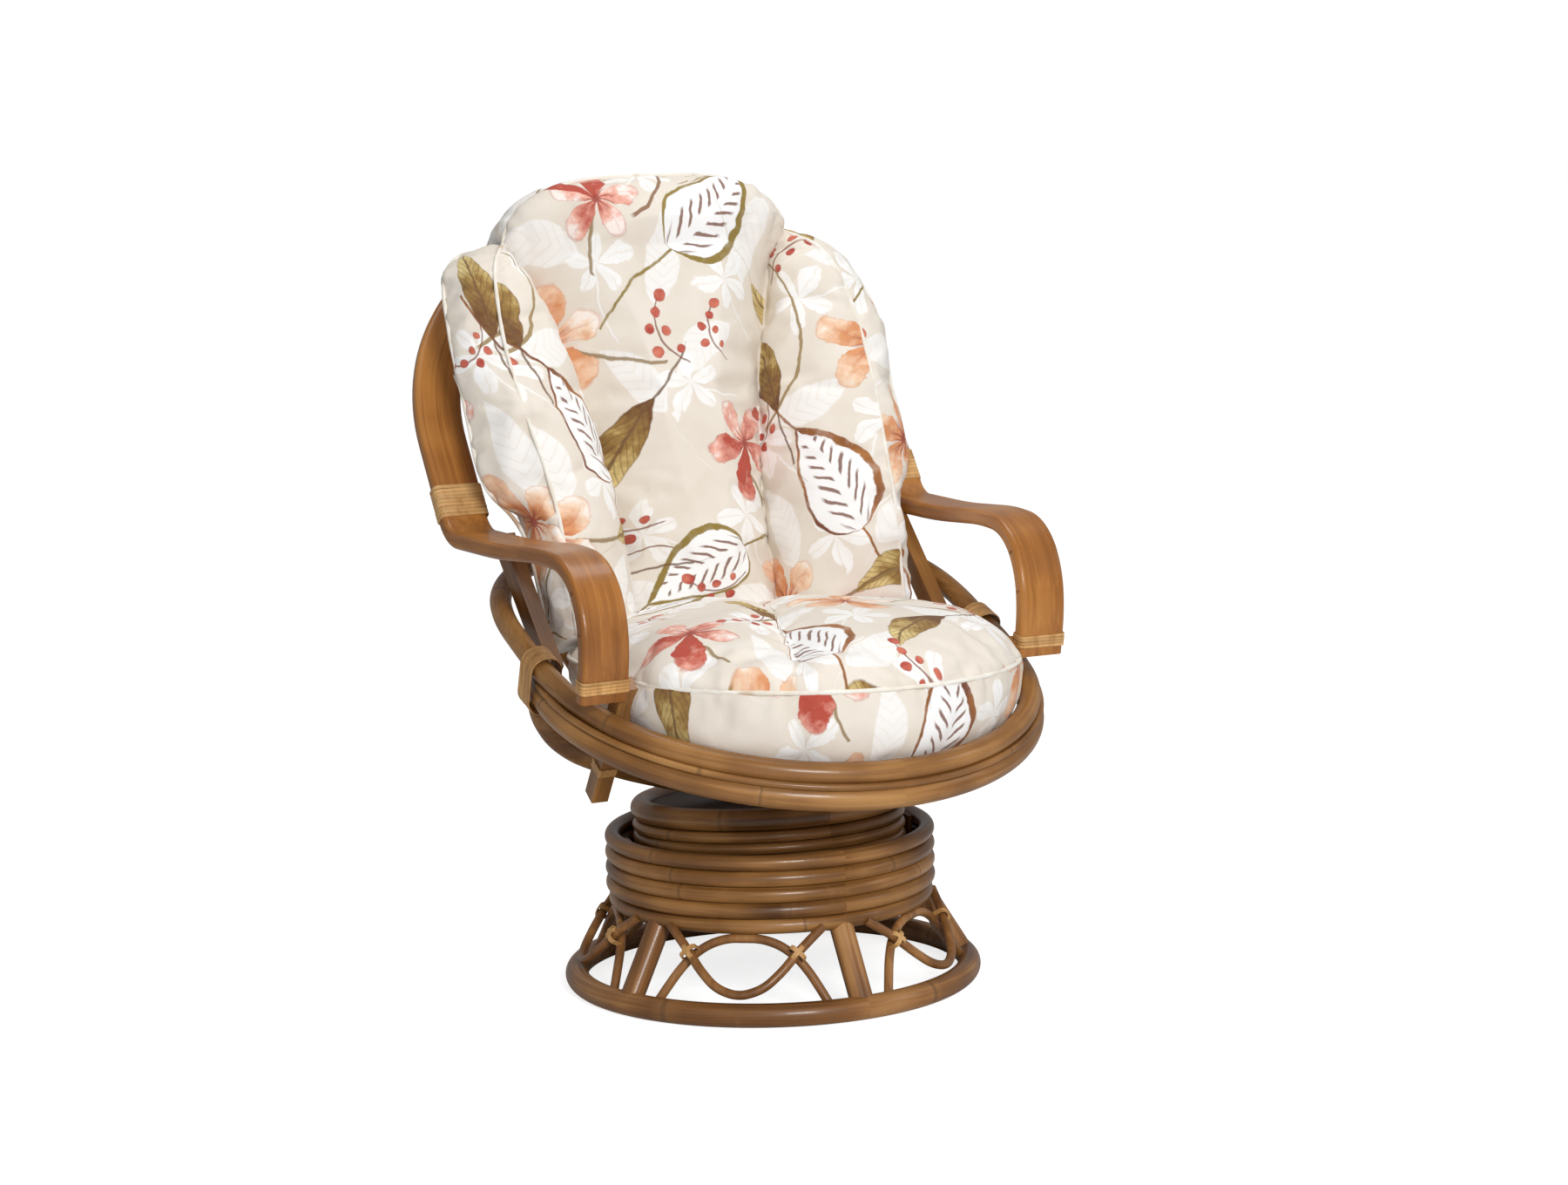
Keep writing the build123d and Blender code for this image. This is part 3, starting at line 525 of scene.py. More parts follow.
def printed_fabric(name="floral_cotton"):
    k = Kit(name)
    uv = k.node("ShaderNodeUVMap", uv_map="print").outputs[0]
    warp = k.node("ShaderNodeTexNoise")
    k.put(warp.inputs["Vector"], uv)
    warp.inputs["Scale"].default_value = 26.0
    warp.inputs["Detail"].default_value = 3.0
    p = k.v("ADD", uv, k.v("SCALE", k.v("SUBTRACT", warp.outputs["Color"], (0.5, 0.5, 0.5)), scale=0.014))
    wash = k.noise(uv, 34.0, 4.0, 0.62)
    wash2 = k.noise(k.v("ADD", uv, (3.1, 1.7, 0)), 13.0, 3.0, 0.55)
    fine = k.noise(uv, 160.0, 2.0, 0.6)

    ground = k.mixc(k.ramp(wash2, 0.3, 0.7), lin(226, 216, 202), lin(235, 227, 216))
    white = lin(250, 250, 250)
    col = ground

    # pale flowers and leaves, white on the ground
    q, num = nearest(k, p, [(0.17, 0.15, 20, 0.060, 1), (0.35, 0.14, -40, 0.056, 2), (0.52, 0.17, 60, 0.058, 3), (0.08, 0.31, 10, 0.056, 4), (0.26, 0.33, 80, 0.062, 5), (0.42, 0.34, -20, 0.054, 6), (0.16, 0.48, 33, 0.060, 7), (0.34, 0.49, 70, 0.058, 8), (0.51, 0.47, -60, 0.056, 9), (0.06, 0.65, 5, 0.060, 10), (0.26, 0.65, 95, 0.056, 11), (0.43, 0.64, 50, 0.058, 12)])
    edge, rnd, c, r, a = petals(k, q, num, 5, 0.82, wash)
    veil = k.soft(edge, 0.06)
    veil = k.m("MULTIPLY", veil, k.ramp(k.m("ABSOLUTE", c), 0.03, 0.10, 0.45, 1.0))
    col = k.mixc(k.m("MULTIPLY", veil, k.ramp(wash, 0.3, 0.6, 0.55, 0.9)), col, white)
    x, y, _ = k.sep(q)
    tail = k.m("SUBTRACT", 0.028, k.m("ABSOLUTE", k.m("SUBTRACT", x, k.m("MULTIPLY", k.m("MULTIPLY", y, y), 0.28))))
    tail = k.m("MINIMUM", tail, k.m("MINIMUM", k.m("ADD", y, 2.4), k.m("SUBTRACT", -0.4, y)))
    col = k.mixc(k.m("MULTIPLY", k.soft(tail, 0.02), 0.6), col, white)

    q, num = nearest(k, p, [(0.17, 0.02, 15, 0.13, 1), (0.35, 0.02, -35, 0.12, 2), (0.03, 0.21, 130, 0.12, 3), (0.25, 0.19, -70, 0.13, 4), (0.44, 0.18, 40, 0.12, 5), (0.14, 0.36, 160, 0.13, 6), (0.34, 0.37, 75, 0.12, 7), (0.50, 0.34, -10, 0.12, 8), (0.05, 0.51, 100, 0.13, 9), (0.25, 0.52, -50, 0.12, 10), (0.42, 0.53, 20, 0.12, 11)])
    edge, xb, y, w = leaf(k, q, 0.10, 0.20)
    rib = k.ramp(k.m("ABSOLUTE", k.m("SUBTRACT", k.m("FRACT", k.m("MULTIPLY", k.m("SUBTRACT", y, k.m("MULTIPLY", k.m("ABSOLUTE", xb), 0.9)), 8.0)), 0.5)), 0.03, 0.13)
    col = k.mixc(k.m("MULTIPLY", k.m("MULTIPLY", k.soft(edge, 0.02), k.ramp(rib, 0.0, 1.0, 0.42, 0.72)), 0.95), col, white)

    # long trailing stems
    for (cx, cy, rad, wide, tone) in ((0.10, 0.30, 0.155, 0.0018, lin(150, 122, 66)), (0.42, 0.50, 0.120, 0.0016, lin(132, 84, 44))):
        d = k.v("SUBTRACT", p, (cx, cy, 0))
        w_ = k.v("WRAP", d, (TILE[0] / 2, TILE[1] / 2, 1), (-TILE[0] / 2, -TILE[1] / 2, -1))
        L = k.v("LENGTH", w_)
        sx, sy, _ = k.sep(w_)
        ang = k.m("ARCTAN2", sy, sx)
        thick = k.ramp(ang, -1.0, 1.9, wide * 1.6, wide * 0.5)
        band = k.m("SUBTRACT", thick, k.m("ABSOLUTE", k.m("SUBTRACT", L, rad)))
        span = k.m("MINIMUM", k.m("ADD", ang, 1.1), k.m("SUBTRACT", 2.0, ang))
        msk = k.m("MULTIPLY", k.soft(band, 0.0008), k.soft(span, 0.05))
        col = k.mixc(k.m("MULTIPLY", msk, 0.9), col, tone)

    # broad white leaves, edged in brown on one side, with short brush marks
    q, num = nearest(k, p, [(0.26, 0.07, 28, 0.170, 1), (0.07, 0.41, -48, 0.165, 2), (0.50, 0.57, 118, 0.155, 3)])
    edge, xb, y, w = leaf(k, q, 0.07, 0.33, 0.60)
    inside = k.soft(edge, 0.012)
    col = k.mixc(inside, col, white)
    side = k.m("GREATER_THAN", xb, 0.0)
    brush = k.mixf(side, 0.018, k.m("MULTIPLY_ADD", wash, 0.07, 0.02))
    line = k.m("MULTIPLY", k.ramp(k.m("SUBTRACT", edge, brush), -0.006, 0.006, 1.0, 0.0), k.soft(k.m("ADD", edge, 0.012), 0.010))
    tone = k.mixc(k.ramp(wash2, 0.35, 0.65), lin(112, 52, 16), lin(166, 104, 42))
    tone = k.mixc(k.ramp(num, 1.4, 1.6), tone, lin(142, 118, 46))
    col = k.mixc(k.m("MULTIPLY", line, k.ramp(wash, 0.2, 0.5, 0.65, 1.0)), col, tone)
    dash = k.m("FRACT", k.m("MULTIPLY", k.m("SUBTRACT", y, k.m("MULTIPLY", k.m("ABSOLUTE", xb), 1.1)), 8.5))
    dm = k.m("MULTIPLY", k.soft(k.m("SUBTRACT", 0.15, k.m("ABSOLUTE", k.m("SUBTRACT", dash, 0.5))), 0.08), k.soft(k.m("SUBTRACT", k.m("MULTIPLY", w, 0.55), k.m("ABSOLUTE", xb)), 0.03))
    dm = k.m("MULTIPLY", dm, k.soft(k.m("SUBTRACT", k.m("ABSOLUTE", xb), 0.035), 0.012))
    dm = k.m("MULTIPLY", dm, k.soft(k.m("SUBTRACT", edge, 0.05), 0.01))
    col = k.mixc(k.m("MULTIPLY", dm, 0.88), col, lin(114, 56, 22))

    # slim shaded leaves in olive and brown
    q, num = nearest(k, p, [(0.43, 0.09, 152, 0.150, 1), (0.17, 0.245, 24, 0.145, 2), (0.34, 0.58, 100, 0.140, 3)])
    edge, xb, y, w = leaf(k, q, 0.12, 0.17, 0.9)
    inside = k.soft(edge, 0.012)
    vein = k.m("FRACT", k.m("MULTIPLY", k.m("SUBTRACT", y, k.m("MULTIPLY", k.m("ABSOLUTE", xb), 1.6)), 11.0))
    shade = k.m("ADD", k.m("MULTIPLY", wash, 0.9), k.m("MULTIPLY", k.ramp(y, 0.0, 1.0, 0.45, -0.15), 1.0))
    tone = k.mixc(k.ramp(shade, 0.35, 0.62), lin(226, 204, 140), lin(166, 132, 62))
    tone = k.mixc(k.ramp(shade, 0.55, 0.85), tone, lin(108, 62, 20))
    tone = k.mixc(k.m("MULTIPLY", k.ramp(k.m("ABSOLUTE", k.m("SUBTRACT", vein, 0.5)), 0.03, 0.16, 1.0, 0.0), 0.5), tone, lin(96, 58, 24))
    rim = k.ramp(edge, 0.0, 0.016, 1.0, 0.0)
    tone = k.mixc(k.m("MULTIPLY", rim, 0.6), tone, lin(104, 66, 30))
    stalk = k.m("MINIMUM", k.m("SUBTRACT", 0.012, k.m("ABSOLUTE", k.m("SUBTRACT", xb, 0.0))), k.m("MINIMUM", k.m("ADD", y, 0.55), k.m("SUBTRACT", 0.95, y)))
    col = k.mixc(inside, col, tone)
    col = k.mixc(k.m("MULTIPLY", k.soft(stalk, 0.012), 0.85), col, lin(108, 72, 36))

    # watercolour flowers
    q, num = nearest(k, p, [(0.08, 0.09, 12, 0.084, 1), (0.35, 0.255, 50, 0.090, 2), (0.43, 0.42, -25, 0.080, 3), (0.16, 0.575, 75, 0.088, 4)])
    edge, rnd, c, r, a = petals(k, q, num, 5, 0.90, wash)
    x, y, _ = k.sep(q)
    stalk = k.m("SUBTRACT", 0.030, k.m("ABSOLUTE", k.m("SUBTRACT", x, k.m("MULTIPLY", k.m("MULTIPLY", y, y), 0.22))))
    stalk = k.m("MINIMUM", stalk, k.m("MINIMUM", k.m("ADD", y, 2.1), k.m("SUBTRACT", -0.3, y)))
    col = k.mixc(k.m("MULTIPLY", k.soft(stalk, 0.02), 0.85), col, lin(138, 108, 54))
    red = k.m("GREATER_THAN", k.m("MULTIPLY", k.m("FRACT", k.m("MULTIPLY", num, 0.5)), 2.0), 0.5)
    deep = k.mixc(red, lin(220, 148, 98), lin(184, 66, 48))
    pale = k.mixc(red, lin(244, 214, 186), lin(238, 176, 158))
    body = k.m("ADD", k.m("MULTIPLY", wash, 0.8), k.m("MULTIPLY", k.m("SUBTRACT", rnd, 0.5), 0.45))
    body = k.m("ADD", body, k.ramp(r, 0.1, 0.9, 0.16, -0.12))
    tone = k.mixc(k.ramp(body, 0.30, 0.52, 0.0, 1.0), pale, deep)
    tone = k.mixc(k.m("MULTIPLY", k.ramp(body, 0.20, 0.30, 1.0, 0.0), 0.85), tone, lin(250, 244, 238))
    rim = k.ramp(edge, 0.0, 0.05, 1.0, 0.0)
    tone = k.mixc(k.m("MULTIPLY", rim, 0.55), tone, k.mixc(red, lin(206, 128, 84), lin(172, 60, 46)))
    rib = k.ramp(k.m("ABSOLUTE", c), 0.02, 0.09, 1.0, 0.0)
    tone = k.mixc(k.m("MULTIPLY", k.m("MULTIPLY", rib, k.ramp(r, 0.2, 0.8, 0.5, 0.0)), 0.8), tone, lin(176, 84, 60))
    col = k.mixc(k.soft(edge, 0.05), col, tone)
    spark = k.m("MULTIPLY", k.soft(k.m("SUBTRACT", k.m("SINE", k.m("MULTIPLY", a, 11.0)), 0.25), 0.5), k.ramp(r, 0.13, 0.34, 1.0, 0.0))
    col = k.mixc(k.m("MULTIPLY", spark, 0.85), col, lin(166, 66, 50))
    col = k.mixc(k.ramp(r, 0.05, 0.11, 0.9, 0.0), col, lin(150, 52, 40))

    # sprigs of berries
    q, num = nearest(k, p, [(0.49, 0.235, 20, 0.052, 1), (0.25, 0.41, -60, 0.052, 2), (0.17, 0.155, 140, 0.044, 3), (0.005, 0.545, 95, 0.044, 4), (0.41, 0.655, 60, 0.044, 5), (0.04, 0.235, 10, 0.040, 6)])
    x, y, _ = k.sep(q)
    twig = k.m("SUBTRACT", 0.030, k.m("ABSOLUTE", k.m("SUBTRACT", x, k.m("MULTIPLY", k.m("MULTIPLY", y, y), 0.5))))
    twig = k.m("MINIMUM", twig, k.m("SUBTRACT", 0.95, k.m("ABSOLUTE", y)))
    col = k.mixc(k.m("MULTIPLY", k.soft(twig, 0.03), 0.85), col, lin(122, 62, 36))
    fruit = None
    for bx, by, br in ((0.52, 0.98, 0.17), (0.22, 0.62, 0.14), (-0.20, 0.30, 0.15), (0.24, 0.12, 0.13), (-0.24, -0.30, 0.15), (0.34, -0.44, 0.12)):
        d = k.m("SUBTRACT", br, k.v("LENGTH", k.v("SUBTRACT", q, (bx, by, 0))))
        fruit = d if fruit is None else k.m("MAXIMUM", fruit, d)
    tone = k.mixc(k.ramp(wash, 0.35, 0.6), lin(214, 120, 96), lin(176, 58, 46))
    tone = k.mixc(k.ramp(fruit, 0.03, 0.0, 0.0, 0.6), tone, lin(140, 44, 34))
    col = k.mixc(k.soft(fruit, 0.03), col, tone)

    col = k.mixc(0.06, col, k.mixc(fine, lin(236, 230, 220), lin(190, 180, 164)))
    # plain weave
    sx, sy, _ = k.sep(uv)
    wv = k.m("MULTIPLY", k.m("SINE", k.m("MULTIPLY", sx, 5200.0)), k.m("SINE", k.m("MULTIPLY", sy, 5200.0)))
    n = k.bump(wv, 0.00012, 0.35, k.bump(wash2, 0.004, 0.25))
    return k.finish(col, 0.86, n, spec=0.12, sheen=0.06)


FABRIC = printed_fabric()


def piping_fabric():
    k = Kit("piping_cotton")
    p = place(k)
    n1 = k.noise(p, 40.0, 3.0, 0.6)
    c = k.mixc(k.ramp(n1, 0.3, 0.7), lin(228, 219, 203), lin(243, 240, 233))
    n2 = k.noise(p, 17.0, 1.0, 0.5)
    c = k.mixc(k.ramp(n2, 0.66, 0.69, 0.0, 0.75), c, lin(190, 150, 108))
    n = k.bump(k.noise(p, 900.0, 2.0, 0.6), 0.0003, 0.4)
    return k.finish(c, 0.85, n, spec=0.15, sheen=0.06)


PIPING = piping_fabric()


# ---------------------------------------------------------------- soft goods
def curve_through(rows, count):
    """Catmull-Rom through table rows, 24 points to each span."""
    P = np.array(rows, float)
    ext = np.vstack([2 * P[0] - P[1], P, 2 * P[-1] - P[-2]])
    out = []
    for i in range(1, len(ext) - 2):
        for s in np.linspace(0, 1, 24, endpoint=False):
            a, b, c, d = ext[i - 1], ext[i], ext[i + 1], ext[i + 2]
            out.append(0.5 * ((2 * b) + (c - a) * s + (2 * a - 5 * b + 4 * c - d) * s * s + (3 * b - a - 3 * c + d) * s ** 3))
    out.append(P[-1])
    out = np.array(out)
    return out


def even(curve, count, fracs=None):
    L = np.concatenate([[0], np.cumsum(np.linalg.norm(np.diff(curve, axis=0), axis=1))])
    t = np.linspace(0, L[-1], count) if fracs is None else np.array(fracs) * L[-1]
    return np.stack([np.interp(t, L, curve[:, i]) for i in range(curve.shape[1])], 1)


def by_level(rows, count):
    """Rows all read at the same fraction of the table, so that edges of one level stay level."""
    P = np.array(rows, float)
    ext = np.vstack([2 * P[0] - P[1], P, 2 * P[-1] - P[-2]])
    out = []
    for u in np.linspace(0, len(P) - 1, count):
        i = min(int(u), len(P) - 2)
        s = u - i
        a, b, c, d = ext[i], ext[i + 1], ext[i + 2], ext[i + 3]
        out.append(0.5 * ((2 * b) + (c - a) * s + (2 * a - 5 * b + 4 * c - d) * s * s + (3 * b - a - 3 * c + d) * s ** 3))
    return np.array(out)


class Cloth:
    """A closed cushion cover made of grid panels that share their edges."""

    def __init__(self, name):
        self.name = name
        self.bm = bmesh.new()
        self.uv = self.bm.loops.layers.uv.new("print")
        self.pin = {}

    def panel(self, grid, uv, flip=False, pin=None):
        R, C = grid.shape[:2]
        vs = [[self.bm.verts.new(Vector(grid[i, j])) for j in range(C)] for i in range(R)]
        for i in range(R - 1):
            for j in range(C - 1):
                ids = [(i, j), (i, j + 1), (i + 1, j + 1), (i + 1, j)]
                if flip:
                    ids.reverse()
                f = self.bm.faces.new([vs[a][b] for a, b in ids])
                f.smooth = True
                for lp, (a, b) in zip(f.loops, ids):
                    lp[self.uv].uv = Vector(uv[a, b])
        if pin is not None:
            for i in range(R):
                for j in range(C):
                    if pin[i, j] > 0:
                        self.pin[tuple(np.round(grid[i, j], 5))] = max(self.pin.get(tuple(np.round(grid[i, j], 5)), 0), float(pin[i, j]))

    def build(self, mat):
        bmesh.ops.remove_doubles(self.bm, verts=self.bm.verts, dist=0.00015)
        bmesh.ops.dissolve_degenerate(self.bm, dist=0.0001, edges=self.bm.edges)
        bmesh.ops.recalc_face_normals(self.bm, faces=self.bm.faces)
        if self.bm.calc_volume(signed=True) < 0:
            bmesh.ops.reverse_faces(self.bm, faces=self.bm.faces)
        me = bpy.data.meshes.new(self.name)
        self.bm.to_mesh(me)
        self.bm.free()
        ob = bpy.data.objects.new(self.name, me)
        SCENE.collection.objects.link(ob)
        me.materials.append(mat)
        g = ob.vertex_groups.new(name="pin")
        from_key = self.pin
        keys = np.array(list(from_key.keys()))
        vals = np.array(list(from_key.values()))
        co = np.array([v.co for v in me.vertices])
        from_tree = _near(keys, co)
        for i, (d, j) in enumerate(from_tree):
            if d < 0.0004:
                g.add([i], float(vals[j]), "REPLACE")
        return ob


def _near(keys, co):
    from mathutils.kdtree import KDTree
    t = KDTree(len(keys))
    for i, p in enumerate(keys):
        t.insert(Vector(p), i)
    t.balance()
    out = []
    for p in co:
        _, j, d = t.find(Vector(p))
        out.append((d, j))
    return out


def inflate(ob, pressure=4.0, slack=0.02, cap=0.025, frames=20, stiff=12.0):
    """Blows the cover up between its pinned seams, and keeps the result."""
    rest = np.array([v.co for v in ob.data.vertices])
    mod = ob.modifiers.new("cloth", "CLOTH")
    st = mod.settings
    st.quality = 6
    st.mass = 0.25
    st.tension_stiffness = stiff
    st.compression_stiffness = stiff
    st.shear_stiffness = stiff * 0.5
    st.bending_stiffness = 0.6
    st.tension_damping = 12
    st.compression_damping = 12
    st.shear_damping = 12
    st.air_damping = 2.0
    st.use_pressure = True
    st.uniform_pressure_force = pressure
    st.shrink_min = -slack
    st.vertex_group_mass = "pin"
    st.pin_stiffness = 3.0
    st.effector_weights.gravity = 0.0
    mod.collision_settings.use_collision = False
    mod.collision_settings.use_self_collision = False
    for f in range(1, frames + 1):
        SCENE.frame_set(f)
    dg = bpy.context.evaluated_depsgraph_get()
    ev = ob.evaluated_get(dg)
    co = np.array([v.co for v in ev.data.vertices])
    ob.modifiers.remove(mod)
    SCENE.frame_set(1)
    if co.shape != rest.shape or not np.isfinite(co).all():
        return
    d = co - rest
    L = np.linalg.norm(d, axis=1, keepdims=True)
    d *= np.minimum(1.0, cap / np.maximum(L, 1e-9))
    ob.data.vertices.foreach_set("co", (rest + d).ravel())
    ob.data.update()


def wave(s, step, seed):
    """Smooth random wave along a seam, from -1 to 1."""
    rnd = np.random.RandomState(seed).uniform(-1, 1, 4096)
    q = s / step
    i = np.floor(q).astype(int) % 4095
    f = q - np.floor(q)
    f = f * f * (3 - 2 * f)
    return rnd[i] * (1 - f) + rnd[i + 1] * f


def ruffle(ob, curves, amp=0.0014, reach=0.016, step=0.009, broad=0.0016, seed=5):
    """Small puckers where the cloth is sewn down, and a little unevenness of the filling."""
    from mathutils import noise
    from mathutils.kdtree import KDTree
    me = ob.data
    co = np.array([v.co for v in me.vertices])
    no = np.array([v.normal for v in me.vertices])
    move = np.zeros(len(co))
    for ci, curve in enumerate(curves):
        L = np.linalg.norm(np.diff(curve, axis=0), axis=1).sum()
        n = int(L / 0.003) + 2
        pts = even(curve, n)
        tree = KDTree(n)
        for i, q in enumerate(pts):
            tree.insert(Vector(q), i)
        tree.balance()
        near = [tree.find(Vector(q)) for q in co]
        d = np.array([x[2] for x in near])
        along = np.array([x[1] for x in near]) * (L / (n - 1))
        env = np.exp(-(d / reach) ** 1.2) * np.clip(d / 0.004, 0, 1)
        w = 0.65 * wave(along + 0.12 * d, step, seed + ci) + 0.6 * wave(along, step * 2.7, seed + 31 + ci)
        move += amp * env * w
    low = np.array([noise.noise(Vector(q) * 11.0) + 0.5 * noise.noise(Vector(q) * 23.0 + Vector((3, 1, 7))) for q in co])
    move += broad * low
    co = co + no * move[:, None]
    me.vertices.foreach_set("co", co.ravel())
    me.update()


def subdivide(ob, levels=1):
    mod = ob.modifiers.new("sub", "SUBSURF")
    mod.levels = levels
    mod.render_levels = levels
    mod.uv_smooth = "PRESERVE_BOUNDARIES"
    dg = bpy.context.evaluated_depsgraph_get()
    me = bpy.data.meshes.new_from_object(ob.evaluated_get(dg), preserve_all_data_layers=True, depsgraph=dg)
    old = ob.data
    ob.modifiers.remove(mod)
    ob.data = me
    bpy.data.meshes.remove(old)
    me.polygons.foreach_set("use_smooth", [True] * len(me.polygons))


def to_row(p):
    """Back cushion's own coordinates (across, up the slope, out) to the frame."""
    p = np.asarray(p, float)
    x, t, n = p[..., 0], p[..., 1], p[..., 2]
    return np.stack([x, 0.252 + t * S21 - n * C21, 0.560 + t * C21 + n * S21], -1)


def mirror(a):
    b = np.array(a, float).copy()
    b[..., 0] *= -1
    return b


# edges of the back cushion, from its foot up: sewn channel, front piping, rear piping
SEAM = [(.109, -.150, .046), (.112, .000, .056), (.122, .088, .063), (.136, .173, .066), (.158, .258, .068), (.184, .343, .070), (.197, .371, .070), (.207, .392, .067)]
FRONT = [(.236, -.160, .148), (.240, -.039, .168), (.245, .049, .1645), (.254, .140, .151), (.258, .232, .135), (.250, .316, .120), (.235, .359, .100), (.207, .392, .067)]
REAR = [(.256, -.172, .104), (.270, -.020, .116), (.308, .060, .103), (.311, .162, .094), (.314, .247, .092), (.298, .341, .062), (.262, .386, .034), (.209, .402, .012)]
BSEAM = [(.118, -.150, .001), (.120, .000, .001), (.128, .088, .001), (.140, .173, .001), (.160, .258, .001), (.184, .343, .001), (.197, .375, .003), (.209, .402, .012)]
TOPF = [(.207, .392, .067), (.204, .405, .073), (.196, .419, .080), (.180, .434, .086), (.157, .448, .091), (.130, .458, .094), (.100, .464, .097), (.060, .467, .099), (.0, .468, .100)]
TOPB = [(.209, .402, .012), (.201, .414, .011), (.191, .427, .010), (.175, .439, .010), (.153, .451, .010), (.127, .459, .010), (.100, .463, .011), (.060, .465, .012), (.0, .466, .012)]


def seat_top(x, y):
    """Height of the seat cushion's upper side, far below where there is none."""
    r = np.maximum(np.hypot(x, y + 0.078), 1e-6)
    q = np.hypot(x * (1 + 0.105 * (x / r) ** 2), y + 0.078)
    return np.where(q < 0.289, np.interp(q, TOP_R, REAR_Z), -1.0)


def settle(G, rows=16):
    """Lets the foot of a panel stand on the seat cushion instead of passing into it."""
    G = G.copy()
    lift = np.maximum(0, seat_top(G[0, :, 0], G[0, :, 1]) + 0.0015 - G[0, :, 2])
    for i in range(min(rows, len(G))):
        G[i, :, 2] += lift * (1 - i / rows) ** 2
    G[..., 2] = np.maximum(G[..., 2], seat_top(G[..., 0], G[..., 1]) + 0.0015)
    return G


def stand(G):
    G = G.copy()
    G[..., 2] = np.maximum(G[..., 2], seat_top(G[..., 0], G[..., 1]) + 0.0015)
    return G


